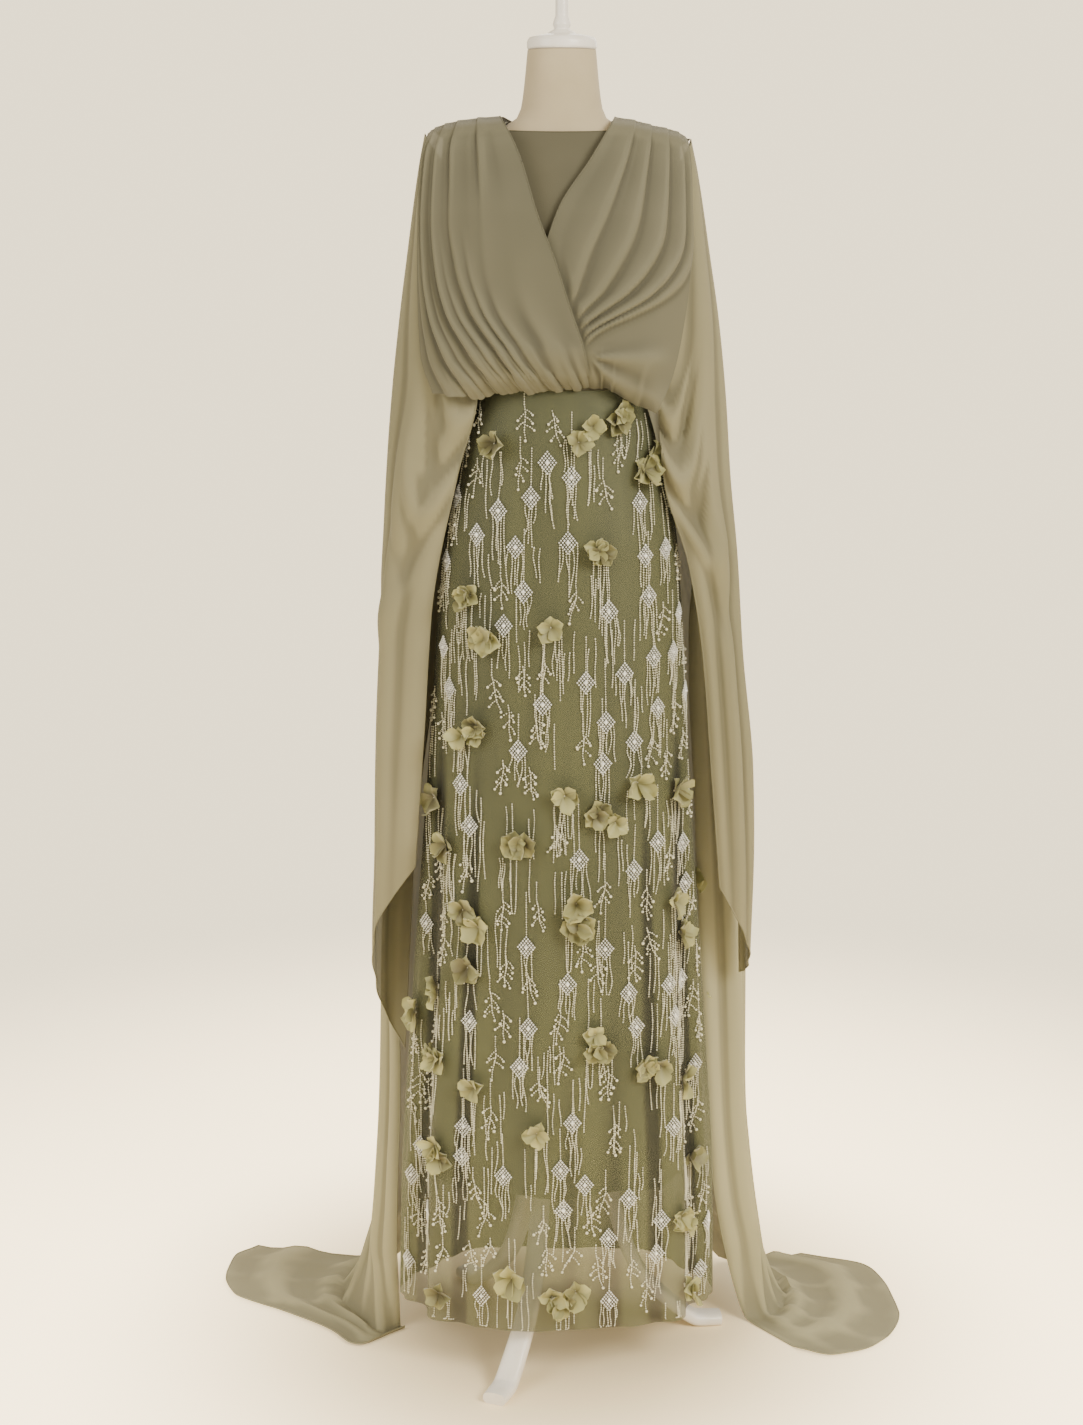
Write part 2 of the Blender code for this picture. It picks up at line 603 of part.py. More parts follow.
def build_sleeves(finishes):
    """The long straight sleeves, flat and empty, open at both ends."""
    parts = []
    for name, side, shift in (("sleeve_right", -1.0, 0.0), ("sleeve_left", 1.0, SLEEVE_LEFT_SHIFT)):
        angles = np.radians(np.arange(0, 360, 30))[None, :]
        height = np.array(SLEEVE_ROWS)[:, None]
        columns = ("middle", "half_thickness", "half_depth", "tilt")
        middle, thick, depth, tilt = (read(SLEEVE, c, "height", height) for c in columns)
        middle = middle + shift * ease((1.66 - height) / 0.1)
        x = middle + thick * rounded(np.cos(angles), 0.7)
        y = SLEEVE_MIDDLE_Y + depth * rounded(np.sin(angles), 0.7)
        z = height + tilt * np.cos(angles)
        x = np.maximum(x, torso_side(y, z, SLEEVE_SEAT))
        grid = to_side(np.stack([x, y, z], axis=-1), side)
        parts.append(cloth_wall(name, grid, WALL, finishes["crepe"], closed=True))
    return parts


def rounded(value, power):
    """A circle's sine or cosine, made fuller at the corners by a power under one."""
    return np.sign(value) * np.abs(value) ** power


def torso_side(y, height, clear):
    """How far the form, grown by a clearance, reaches to the side at a depth and a height."""
    half_width = read(TORSO, "half_width", "height", height) + clear
    depth = clear + np.where(y < 0, read(TORSO, "front", "height", height),
                             read(TORSO, "back", "height", height))
    inside = np.clip(1.0 - np.abs(y / depth) ** SECTION_POWER, 0.0, 1.0)
    return half_width * inside ** (1.0 / SECTION_POWER)


def to_side(grid, side):
    """Mirror a grid drawn on the wearer's left, keeping its columns anticlockwise."""
    if side > 0:
        return grid
    return (grid * np.array([-1.0, 1.0, 1.0]))[:, ::-1]


def pleats(line, count, sharp):
    """Height of knife pleats across a piece: a slow rise and a quick fall, from 0 to 1."""
    phase = (line * count) % 1.0
    return np.where(phase < sharp, phase / sharp, (1.0 - phase) / (1.0 - sharp))


def build_wrap(name, lines, shoulder, hem, layer, relief, finishes):
    """A crossed blouse front, pleated at the shoulder and gathered at the waist."""
    names = ("edge", "first", "second", "third", "fourth", "side")
    share = np.array(WRAP_ROWS)
    line = np.linspace(0, 1, 19)
    by_row = np.stack([read(lines, c, "share", share) for c in names], axis=1)
    x = np.stack([smooth_at(np.linspace(0, 1, 6), row, line) for row in by_row])
    top = read(shoulder, "height", "aside", np.abs(x[0]))
    bottom = read(hem, "bottom", "line", line)
    z = top + (bottom - top) * share[:, None]
    reach = read(BLOUSE, "front", "share", share)[:, None]
    loose = ease((np.abs(x) - LOOSE_FROM["aside"]) / LOOSE_FROM["over"])
    loose = loose * ease((share[:, None] - LOOSE_FROM["share"]) / LOOSE_FROM["share_over"])
    reach = reach + (LOOSE_REACH - reach) * loose
    y = -blouse_depth(x, reach)
    grid = np.stack([x, y, z], axis=-1)
    if x[0, 0] > x[0, -1]:
        grid, relief_line = grid[:, ::-1], line[::-1]
    else:
        relief_line = line
    fullness = np.sin(np.pi * np.clip(share, 0.0, 1.0)) ** 0.6 * 0.7 + 0.3
    fullness = fullness * ease(share / 0.08) * ease((1.08 - share) / 0.2)
    shown = ease((relief_line - relief["from"]) / 0.15)
    height = relief["height"] * fullness[:, None] * shown * pleats(relief_line, relief["count"], 0.7)
    lift = layer["waist"] + (layer["chest"] - layer["waist"]) * ease((1.0 - share) / 0.15)
    lift = lift * (0.2 + 0.8 * ease(share / 0.1))
    grid = grid + grid_normals(grid, False) * (height + lift[:, None])[..., None]
    return cloth_wall(name, grid, WALL, finishes["chiffon"])


def blouse_depth(x, reach):
    """How far the blouse stands before or behind the shoulder seam at a distance aside."""
    aside = np.clip(np.abs(x) / BLOUSE_HALF_WIDTH, 0.0, 0.999)
    return reach * (1.0 - aside**SECTION_POWER) ** (1.0 / SECTION_POWER)


def blouse_back_point(shoulder, x, share, relief=0.0):
    """A point of the blouse's back at a distance aside and a share of the way down."""
    z_top = read(shoulder, "height", "aside", x)
    z = z_top + (BLOUSE_BACK_Z - z_top) * share
    y = blouse_depth(x, read(BLOUSE, "back", "share", share)) + relief
    return np.stack(np.broadcast_arrays(x, y, z), axis=-1)


def build_blouse_back(finishes):
    """The blouse's back in two halves, which meet in a plain seam at the centre."""
    parts = []
    for name, side, shoulder in (("blouse_back_right", -1.0, SHOULDER_RIGHT),
                                 ("blouse_back_left", 1.0, SHOULDER_LEFT)):
        share = np.array(BLOUSE_BACK_ROWS)[:, None]
        line = np.linspace(0, 1, 9)[None, :]
        outer = read(BLOUSE_BACK, "outer", "share", share)
        inner = read(BLOUSE_BACK, "inner", "share", share) + SEAM_GAP
        x = outer + (inner - outer) * line
        relief = BACK_PLEAT_HEIGHT * pleats(1.0 - line, 3, 0.6) * np.sin(np.pi * share)
        grid = blouse_back_point(shoulder, x, share, relief)
        parts.append(cloth_wall(name, to_side(grid, side), WALL, finishes["chiffon"]))
    return parts


def plan_section(rows, height, share):
    """A point of a cape's section: two quarter ovals from the front edge to the back edge."""
    columns = ("front_x", "front_y", "side_x", "side_y", "back_x", "back_y")
    fx, fy, sx, sy, bx, by = (read(rows, c, "height", height) for c in columns)
    turn = np.linspace(0, np.pi / 2, 13)
    shape = np.shape(height) + (1,)
    fx, fy, sx, sy, bx, by = (np.reshape(v, shape) for v in (fx, fy, sx, sy, bx, by))
    rise, fall = np.sin(turn) ** CAPE_POWER, np.abs(np.cos(turn)) ** CAPE_POWER
    x = np.concatenate([fx + (sx - fx) * rise, bx + (sx - bx) * fall[1:]], axis=-1)
    y = np.concatenate([sy + (fy - sy) * fall, sy + (by - sy) * rise[1:]], axis=-1)
    steps = np.hypot(np.diff(x, axis=-1), np.diff(y, axis=-1))
    run = np.concatenate([np.zeros(shape), np.cumsum(steps, axis=-1)], axis=-1)
    run = run / run[..., -1:]
    result = np.empty(np.shape(height) + (2,))
    for index in np.ndindex(np.shape(height)):
        result[index + (0,)] = np.interp(share[index], run[index], x[index])
        result[index + (1,)] = np.interp(share[index], run[index], y[index])
    return result


def hanging_sheet(rows, top, bottom, row_count, column_count):
    """A hanging sheet: its height runs from a top line to a bottom line across its width."""
    share = np.linspace(0, 1, column_count)
    fall = np.linspace(0, 1, row_count)[:, None]
    height = top(share)[None, :] + (bottom(share) - top(share))[None, :] * fall
    across = np.broadcast_to(share, height.shape)
    plan = plan_section(rows, height, across)
    return np.concatenate([plan, height[..., None]], axis=-1)


def add_waves(grid, share, waves):
    """Soft upright folds that deepen on the way down: each row is moved along its level normal."""
    normals = grid_normals(grid, False)
    normals[..., 2] = 0.0
    normals /= np.maximum(np.linalg.norm(normals, axis=-1, keepdims=True), 1e-9)
    wave = waves["depth"] * np.cos(math.tau * waves["count"] * share + waves["phase"])
    fullness = ease((waves["from"] - grid[..., 2]) / waves["over"])
    return grid + normals * (fullness * wave)[..., None]


def build_cape(name, rows, side, hem, finishes):
    """A cape sleeve: from the end of the shoulder seam to a hem that slants down to the back."""
    peak, foot = rows["height"][0], rows["height"][1]

    def top(share):
        return foot + (peak - foot) * np.abs(np.sin(np.pi * share)) ** CAPE_TOP_POWER

    def bottom(share):
        return read(hem, "height", "share", share)

    grid = hanging_sheet(rows, top, bottom, 19, 13)
    share = np.broadcast_to(np.linspace(0, 1, 13), grid.shape[:2])
    grid = add_waves(grid, share, CAPE_WAVES)
    grid = to_side(grid, side)
    return cloth_wall(name, grid, WALL, finishes["chiffon"])


def build_train(name, rows, floor, shoulder, side, finishes):
    """A back panel: from the shoulder seam to the floor, where it spreads into a train."""
    column_count = 14
    share = np.linspace(0, 1, column_count)
    peak, base = rows["height"][0], rows["height"][-1]

    def top(across):
        return np.full_like(across, peak)

    def bottom(across):
        return np.full_like(across, base)

    yoke_x = TRAIN_YOKE["outer"] + (TRAIN_YOKE["inner"] - TRAIN_YOKE["outer"]) * share[None, :]
    yoke = blouse_back_point(shoulder, yoke_x, TRAIN_TOP["share"][:, None])
    yoke = yoke + grid_normals(yoke, False) * TRAIN_TOP["lift"][:, None, None]
    grid = hanging_sheet(rows, top, bottom, 12, column_count)
    spread = np.broadcast_to(share, grid.shape[:2])
    grid = add_waves(grid, spread, TRAIN_WAVES)
    land = np.stack([read(floor, c, "share", share) for c in ("land_x", "land_y")], axis=-1)
    hem = np.stack([read(floor, c, "share", share) for c in ("hem_x", "hem_y")], axis=-1)
    rest = TRAIN_WALL / 2
    level = grid[-1]
    bend = []
    for step in BEND_STEPS:
        toward = land + (hem - land) * LANDING_REACH
        plan = ((1 - step) ** 2 * level[:, :2] + 2 * step * (1 - step) * land + step**2 * toward)
        height = rest + (base - rest) * (1 - step) ** 2
        bend.append(np.column_stack([plan, np.full(column_count, height)]))
    flat = []
    ridge = np.cos(math.tau * FLOOR_WAVES["count"] * share + FLOOR_WAVES["phase"])
    for step in FLOOR_STEPS:
        height = rest + FLOOR_WAVES["height"] * np.maximum(ridge, 0.0) * (1 - step) ** 1.1
        flat.append(np.column_stack([land + (hem - land) * step, height]))
    grid = np.concatenate([yoke, grid, np.array(bend), np.array(flat)])
    grid = to_side(grid, side)
    return cloth_wall(name, grid, TRAIN_WALL, finishes["chiffon"], floor=0.0)


def net_hem(degrees):
    return NET_HEM_Z + NET_HEM_DIP * np.cos(np.radians(degrees))


def net_fold(degrees, height):
    """How far the net's upright folds move it out at an angle and a height."""
    move = np.zeros(np.broadcast(degrees, height).shape)
    for turn, depth, width, start in zip(*NET_FOLDS.values()):
        apart = (degrees - turn + 180.0) % 360.0 - 180.0
        move = move + depth * np.exp(-(apart / width) ** 2) * ease((start - height) / 0.75)
    return move


def flower_bumps(rows, columns, first_row):
    """Where chiffon flowers are sewn on: two to a level, in a staggered layout."""
    raised = np.zeros((rows, columns))
    middle = columns // 2
    for level, i in enumerate(range(first_row, rows - 2, 2)):
        for j in (1 + (5 * level) % (middle - 1), middle + 1 + (4 * level + 3) % (middle - 2)):
            raised[i, j] = FLOWER_HEIGHT
            for near in ((i - 1, j), (i + 1, j), (i, j - 1), (i, j + 1)):
                raised[near] = max(raised[near], FLOWER_HEIGHT * 0.3)
    return raised


def build_skirt(finishes):
    """The opaque skirt lining and the longer net skirt over it, each a front and a back."""
    parts = []
    for face, middle, rows, columns in SKIRT_FACES:
        lining_share = np.linspace(0, 1, 8)[:, None]
        lining_height = WAIST_Z - SEAM_GAP + (LINING_HEM_Z - WAIST_Z) * lining_share
        inset = LINING_INSET_TOP + (LINING_INSET_HEM - LINING_INSET_TOP) * lining_share
        degrees = middle + np.linspace(SEAM_DEGREES - 90, 90 - SEAM_DEGREES, columns)[None, :]
        grid = section_point(SKIRT, lining_height, degrees, -inset, SKIRT_CENTRE_X * lining_share)
        parts.append(cloth_wall("lining_" + face, grid, WALL, finishes["lining"]))
        share = np.linspace(0, 1, rows)[:, None]
        height = WAIST_Z + (net_hem(degrees) - WAIST_Z) * share
        fold = net_fold(degrees, height) - NET_INSET_TOP * (1 - ease((WAIST_Z - height) / 0.08))
        grid = section_point(SKIRT, height, degrees, fold, SKIRT_CENTRE_X * share)
        raised = flower_bumps(rows, columns, 2)
        parts.append(cloth_wall("net_" + face, grid, NET_WALL, finishes["net"], raised=raised))
    return parts


def build_upper(finishes):
    """The crossed fronts, the blouse back, the cape sleeves and the trains."""
    on_top = {"chest": WRAP_LAYER, "waist": WRAP_LAYER_AT_WAIST}
    beneath = {"chest": 0.0, "waist": 0.0}
    parts = [
        build_wrap("wrap_right", OVER_WRAP, SHOULDER_RIGHT, OVER_WRAP_HEM, on_top,
                   OVER_WRAP_PLEATS, finishes),
        build_wrap("wrap_left", UNDER_WRAP, SHOULDER_LEFT, UNDER_WRAP_HEM, beneath,
                   UNDER_WRAP_PLEATS, finishes),
    ]
    parts += build_blouse_back(finishes)
    parts.append(build_cape("cape_right", CAPE_RIGHT, -1.0, CAPE_RIGHT_HEM, finishes))
    parts.append(build_cape("cape_left", CAPE_LEFT, 1.0, CAPE_LEFT_HEM, finishes))
    parts.append(build_train("train_right", TRAIN_RIGHT, FLOOR_RIGHT, SHOULDER_RIGHT, -1.0, finishes))
    parts.append(build_train("train_left", TRAIN_LEFT, FLOOR_LEFT, SHOULDER_LEFT, 1.0, finishes))
    return parts


def main():
    for item in list(bpy.data.objects):
        bpy.data.objects.remove(item, do_unlink=True)
    finishes = {
        "chiffon": finish_of("chiffon", CHIFFON, 0.80, 0.3),
        "crepe": finish_of("crepe", CREPE, 0.85, 0.2),
        "lining": finish_of("lining satin", LINING, 0.60, 0.1),
        "net": finish_of("embroidered net", NET, 0.75, 0.1),
        "form": finish_of("form cloth", FORM_CLOTH, 0.85, 0.1),
        "wood": finish_of("painted wood", PAINTED_WOOD, 0.45),
    }
    frame = bpy.data.objects.new("stand_axis", None)
    frame.location = (0.0, AXIS_Y, 0.0)
    bpy.context.scene.collection.objects.link(frame)
    parts = build_form(finishes) + build_bodice(finishes) + build_sleeves(finishes)
    parts += build_skirt(finishes) + build_upper(finishes)
    for part in parts:
        part.parent = frame


main()
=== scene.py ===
"""Maxi dress with a crossed, pleated blouse, cape sleeves and trains, on a limbless dress form.

Metres, +Z up, the front of the dress faces -Y and the wearer's left is at +X.
The section tables are those of the solids. Every y in them is measured from the stand's axis.
Each piece of cloth is a fine grid on its solid's form, with its own creases placed one by one.
"""

import math

import bpy
import numpy as np
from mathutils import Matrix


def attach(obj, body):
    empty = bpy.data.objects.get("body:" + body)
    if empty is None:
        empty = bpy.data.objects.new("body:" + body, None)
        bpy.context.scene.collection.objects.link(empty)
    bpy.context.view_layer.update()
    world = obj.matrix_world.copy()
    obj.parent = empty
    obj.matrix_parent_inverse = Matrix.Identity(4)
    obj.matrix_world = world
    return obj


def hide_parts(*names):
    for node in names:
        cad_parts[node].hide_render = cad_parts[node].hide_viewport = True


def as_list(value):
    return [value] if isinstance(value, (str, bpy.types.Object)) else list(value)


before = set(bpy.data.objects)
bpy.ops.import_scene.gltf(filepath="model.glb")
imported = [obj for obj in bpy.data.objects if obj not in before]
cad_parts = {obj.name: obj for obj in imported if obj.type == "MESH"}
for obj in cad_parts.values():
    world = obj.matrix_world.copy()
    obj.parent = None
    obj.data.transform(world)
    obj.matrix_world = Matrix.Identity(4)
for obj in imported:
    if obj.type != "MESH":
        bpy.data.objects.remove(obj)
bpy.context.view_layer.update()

bl_info = {
    "name": "Maxi dress on a dress form",
    "version": (1, 0, 0),
    "blender": (4, 5, 0),
    "location": "3D View > Sidebar > Dress",
    "description": "Builds the cloth, beads, flowers and stand of a draped evening dress",
    "category": "Add Mesh",
}


def to_linear(code):
    """A hex sRGB colour as linear red, green and blue."""
    parts = [int(code[i:i + 2], 16) / 255 for i in (0, 2, 4)]
    return tuple(c / 12.92 if c <= 0.04045 else ((c + 0.055) / 1.055) ** 2.4 for c in parts)


# Driving sizes, the first from the frame to the stand's axis
ON_AXIS = np.array([0.0, -0.03, 0.0])
WALL = 0.0016
SEAM_GAP = 0.0003
SECTION_POWER = 2.2

WAIST_Z = 1.41
NECK_FRONT_Z = 1.748
NECK_SIDE_Z = 1.7592
ARMHOLE_LOW_Z = 1.6
ARMHOLE_TOP_Z = 1.737
LINING_HEM_Z = 0.272
NET_HEM_Z = 0.069
NET_HEM_DIP = 0.014
SKIRT_CENTRE_X = -0.005
BODICE_CLEAR = 0.0038
LINING_INSET_TOP = 0.0062
NET_INSET_TOP = 0.0041
LINING_INSET_HEM = 0.03
SEAM_DEGREES = 0.12
ARMHOLE_DEGREES = 12.0
NECK_CURVE = {"from": 0.45, "over": 0.5}

CAP_TOP_Z = 1.958
POLE_RADIUS = 0.0125
HUB_RADIUS = 0.031
HUB_TOP_Z = 0.4
HUB_BOTTOM_Z = 0.32

# Sizes and shares of the looks alone
CLOTH_WALL = 0.0006
BLOUSE_ALPHA = 0.82
HANGING_ALPHA = 0.8
# How much darker the painted shade makes the troughs of folds, on the blouse and on the capes and trains
PLEAT_SHADE_DEPTH = 0.34
FOLD_SHADE_DEPTH = 0.24
NET_ALPHA = {"front": 0.47, "back": 0.8}
# How far bead strings stand off the net, and the lowest point of strings and motifs
STRING_LIFT = 0.0014
STRING_LOW = 0.085
MOTIF_LOW = 0.115
MOTIF_HIGH = 1.385
HEM_DROOP = 0.003
# How much creases that run across count in the painted fold shade, beside upright folds
ROW_SHADE = 0.3
# Half the share of a random pattern over which two tones blend
TONE_SPREAD = 0.18
EVEN = (1.0, 1.0, 1.0)
GATHER_FROM = 0.8
# Grid columns to look aside, and how far a ridge must stand out to be at its lightest, with the full painted
# highlight
FOLD_REACHES = ((2, 0.001), (5, 0.003))
NET_FOLD_REACHES = ((3, 0.001), (7, 0.003))
# How flat folds get toward a cape's hem, and how far gathers pull the blouse's hem up and down
HEM_CALM = {"over": 0.3, "least": 0.3}
GATHER_DROP = 0.9
# Clear space about each motif, and how many of each the front and the back have
MOTIF_REACH = {"flower": 0.026, "lozenge": 0.0172, "sprig": 0.014, "lines": 0.0092}
FRONT_MOTIFS = (("flower", 36), ("lozenge", 70), ("sprig", 90), ("lines", 92))
BACK_MOTIFS = (("flower", 26), ("lozenge", 40), ("sprig", 46), ("lines", 44))

# Rows and columns of each grid
GRIDS = {"form": (70, 72), "bodice": (50, 60), "sleeve": (80, 60), "lining": (60, 60), "net": (104, 104),
         "wrap": (108, 116), "blouse_back": (80, 70), "cape": (130, 84), "train": (160, 80)}
TRAIN_COARSE = {"rows": 24, "columns": 27}
LANDING_STEPS = (0.15, 0.3, 0.45, 0.6, 0.75, 0.9)
FLOOR_STEPS = (0.16, 0.28, 0.4, 0.52, 0.64, 0.76, 0.88, 1.0)
LEG_RINGS = 70
SKIRT_LEVELS = 90
SKIRT_MIDDLE = 120

# Beads and flowers: spread of the bead sizes, a lozenge's half width and height, and its middle stone
BEAD_SIZES = (0.86, 1.14)
BEAD_LENGTH = 1.3
LOZENGE = {"half_wide": 0.0115, "half_tall": 0.0145, "rows": 6, "middle": 2.2}
MOTIF_TRIES = 60
MOTIF_TALL = 1.25
MOTIF_LOWER = 1.15
PETAL_POINTS = 5
PETAL_WIDTHS = np.array([0.18, 0.7, 1.0, 0.9, 0.24])[:, None]
# Painted shade along each petal, darkest at its pinched middle and lightest at its tip
PETAL_SHADES = (-0.45, 0.3)
PETAL_WALL = 0.00018

# Creases across the empty sleeves: where round the tube, height, height of the crease, half width
SLEEVE_CREASES = (
    (0.4, 1.598, 1.6, 0.01), (2.2, 1.56, -1.8, 0.012), (5.0, 1.508, 1.4, 0.009), (1.2, 1.452, 2.0, 0.012),
    (3.4, 1.42, -2.2, 0.01), (0.2, 1.384, 2.2, 0.011), (4.4, 1.3, 1.2, 0.014), (2.8, 1.236, -1.4, 0.01),
)

# The photographed view and the studio
CAMERA_PLACE = (-0.0272, -3.363, 1.658)
CAMERA_DOWN_DEGREES = 12.0
CAMERA_LENS = 60.63
FLOOR_RADIUS = 6.0
FLOOR_FADE = (0.75, 2.2)
# The floor glows with painted light: none within the first distance from the middle, full from the second out, so
# the floor near the dress keeps its real shade
FLOOR_SHADE = (0.16, 0.8)
ROOM_LIGHT = 1.5
ROOM_SHOWN = 3.4
FLOOR_GLOW = 4.2
LIGHTS = (
    ("window light", (2.3, -2.6, 2.9), (0.0, 0.0, 1.0), 1.6, 190.0, (1.0, 0.95, 0.86)),
    ("soft light", (-2.8, -2.0, 2.4), (0.0, 0.0, 1.0), 2.4, 80.0, (1.0, 0.985, 0.96)),
    ("back light", (0.8, 2.6, 2.8), (0.0, 0.0, 1.0), 2.2, 45.0, (1.0, 0.97, 0.92)),
)


def table(columns, *rows):
    """A short table: each named column as an array, in the order of the rows."""
    return {name: np.array(values, float) for name, values in zip(columns.split(), zip(*rows))}


# The form's body, from the neck down to its rounded underside
TORSO = table(
    "height half_width front back",
    (1.8575, 0.046, 0.046, 0.046), (1.8, 0.052, 0.05, 0.05), (1.778, 0.056, 0.053, 0.053),
    (1.764, 0.065, 0.055, 0.056), (1.754, 0.085, 0.056, 0.06), (1.744, 0.115, 0.059, 0.066),
    (1.726, 0.142, 0.065, 0.073), (1.695, 0.153, 0.078, 0.082), (1.62, 0.145, 0.102, 0.086),
    (1.56, 0.136, 0.104, 0.083), (1.48, 0.116, 0.087, 0.072), (1.41, 0.104, 0.077, 0.066),
    (1.34, 0.112, 0.084, 0.078), (1.21, 0.14, 0.094, 0.099), (1.08, 0.14, 0.092, 0.098),
    (1.005, 0.13, 0.084, 0.09), (0.985, 0.108, 0.066, 0.071),
)

# The skirt's outer section, from the waist seam down to the hem
SKIRT = table(
    "height half_width front back",
    (1.41, 0.114, 0.087, 0.076), (1.35, 0.129, 0.096, 0.092), (1.29, 0.141, 0.104, 0.106),
    (1.205, 0.162, 0.112, 0.119), (1.11, 0.17, 0.118, 0.124), (0.93, 0.18, 0.127, 0.131),
    (0.7, 0.193, 0.138, 0.142), (0.47, 0.207, 0.15, 0.156), (0.27, 0.22, 0.159, 0.169),
    (0.055, 0.225, 0.167, 0.179),
)

# Upright folds of the net: where round the skirt, how deep, how wide, where they start
NET_FOLDS = table(
    "degrees depth width start",
    (-49.0, 0.011, 9.0, 1.15), (-66.0, -0.015, 10.0, 1.1), (-88.0, 0.009, 12.0, 1.2), (48.0, 0.011, 9.0, 1.05),
    (66.0, -0.015, 10.0, 1.15), (88.0, 0.009, 12.0, 1.1), (-14.0, 0.005, 10.0, 0.8), (17.0, -0.005, 9.0, 0.7),
    (118.0, -0.011, 12.0, 1.0), (147.0, 0.011, 12.0, 1.1), (178.0, -0.008, 12.0, 0.9),
    (-119.0, -0.011, 12.0, 1.05), (-150.0, 0.011, 12.0, 0.95),
)

# The blouse's reach in front of and behind the shoulder seam, by the share of the way down
BLOUSE = table(
    "share front back",
    (0.0, 0.0006, 0.0006), (0.03, 0.056, 0.056), (0.065, 0.072, 0.078), (0.11, 0.083, 0.089),
    (0.2, 0.094, 0.098), (0.35, 0.111, 0.104), (0.55, 0.12, 0.105), (0.7, 0.122, 0.101), (0.85, 0.122, 0.094),
    (0.94, 0.11, 0.085), (1.0, 0.085, 0.0738),
)
BLOUSE_HALF_WIDTH = 0.205
BLOUSE_BACK_Z = WAIST_Z + 2 * SEAM_GAP
BLOUSE_BACK = table(
    "share outer inner",
    (0.0, 0.174, 0.078), (0.11, 0.15, 0.0), (0.45, 0.15, 0.0), (0.72, 0.134, 0.0), (1.0, 0.116, 0.0),
)
LOOSE_REACH = 0.118
LOOSE_FROM = {"aside": 0.1, "over": 0.05, "share": 0.8, "share_over": 0.1}
WRAP_LAYER = {"chest": 0.0055, "waist": 0.004}
UNDER_LAYER = {"chest": 0.0, "waist": 0.0}
WRAP_CALM = {"top": 0.35, "top_over": 0.1, "hem": 0.45, "hem_over": 0.07}

# The shoulder seams, from the neck out to the end of each shoulder
SHOULDER_RIGHT = table(
    "aside height",
    (0.083, 1.7706), (0.113, 1.768), (0.14, 1.764), (0.157, 1.76), (0.17, 1.755), (0.18, 1.748),
)
SHOULDER_LEFT = table(
    "aside height",
    (0.072, 1.7706), (0.099, 1.7656), (0.12, 1.76), (0.142, 1.755), (0.158, 1.75), (0.17, 1.742),
)

# The over wrap's pleat lines: x of each line at a share of the way down
OVER_WRAP = table(
    "share edge first second third fourth side",
    (0.0, -0.083, -0.113, -0.14, -0.157, -0.17, -0.18), (0.15, -0.056, -0.108, -0.145, -0.165, -0.178, -0.187),
    (0.35, -0.034, -0.102, -0.145, -0.168, -0.181, -0.189),
    (0.55, -0.007, -0.096, -0.135, -0.161, -0.177, -0.19), (0.7, 0.01, -0.082, -0.117, -0.148, -0.169, -0.189),
    (0.85, 0.028, -0.05, -0.083, -0.118, -0.15, -0.186), (1.0, 0.04, -0.01, -0.043, -0.078, -0.118, -0.172),
)
OVER_WRAP_HEM = table(
    "line bottom",
    (0.0, 1.417), (0.2, 1.417), (0.4, 1.415), (0.6, 1.411), (0.8, 1.404), (1.0, 1.402),
)

# The under wrap's pleat lines, which gather where the over wrap crosses it
UNDER_WRAP = table(
    "share edge first second third fourth side",
    (0.0, 0.072, 0.099, 0.12, 0.142, 0.158, 0.17), (0.15, 0.04, 0.084, 0.112, 0.14, 0.161, 0.174),
    (0.35, -0.006, 0.056, 0.098, 0.134, 0.16, 0.175), (0.55, -0.025, 0.022, 0.07, 0.114, 0.146, 0.17),
    (0.7, -0.022, 0.006, 0.046, 0.087, 0.124, 0.162), (0.85, -0.012, 0.008, 0.032, 0.061, 0.096, 0.15),
    (1.0, 0.0, 0.017, 0.037, 0.06, 0.088, 0.128),
)
UNDER_WRAP_HEM = table(
    "line bottom",
    (0.0, 1.418), (0.2, 1.417), (0.4, 1.415), (0.6, 1.41), (0.8, 1.4), (1.0, 1.378),
)

# The empty sleeves: the middle of each flat tube, its half thickness and half depth,
# and how much higher its outer side stands than its inner side
SLEEVE = table(
    "height middle half_thickness half_depth tilt",
    (1.67, 0.1632, 0.0124, 0.03, 0.042), (1.6, 0.185, 0.01, 0.031, 0.012), (1.52, 0.198, 0.01, 0.033, 0.0),
    (1.4, 0.21, 0.0105, 0.036, 0.0), (1.27, 0.219, 0.012, 0.037, 0.0), (1.14, 0.227, 0.013, 0.038, 0.0),
)
SLEEVE_MIDDLE_Y = 0.012
SLEEVE_LEFT_SHIFT = -0.008
SLEEVE_SHIFT_Z = 1.66
SLEEVE_ROUNDING = 0.7
SLEEVE_SEAT = 0.006

# Plan sections of the capes and trains. Each runs from its front edge round a side point
# to its back edge. Distances to the side are from the middle, so both sides read alike.
SECTION_COLUMNS = "height front_x front_y side_x side_y back_x back_y"
CAPE_RIGHT = table(
    SECTION_COLUMNS,
    (1.749, 0.156, -0.03, 0.1846, 0.004, 0.156, 0.04), (1.7, 0.156, -0.04, 0.193, 0.006, 0.162, 0.056),
    (1.59, 0.15, -0.046, 0.208, 0.008, 0.164, 0.064), (1.5, 0.136, -0.054, 0.22, 0.008, 0.162, 0.076),
    (1.41, 0.114, -0.066, 0.23, 0.008, 0.15, 0.094), (1.29, 0.143, -0.064, 0.239, 0.008, 0.156, 0.108),
    (1.11, 0.179, -0.052, 0.25, 0.008, 0.17, 0.116), (0.93, 0.192, -0.05, 0.26, 0.006, 0.19, 0.11),
    (0.75, 0.206, -0.046, 0.265, 0.004, 0.213, 0.088), (0.59, 0.218, -0.042, 0.272, 0.0, 0.222, 0.066),
    (0.43, 0.23, -0.038, 0.268, 0.0, 0.23, 0.052),
)
CAPE_RIGHT_HEM = table(
    "share height",
    (0.0, 0.735), (0.25, 0.66), (0.5, 0.575), (0.8, 0.48), (1.0, 0.43),
)
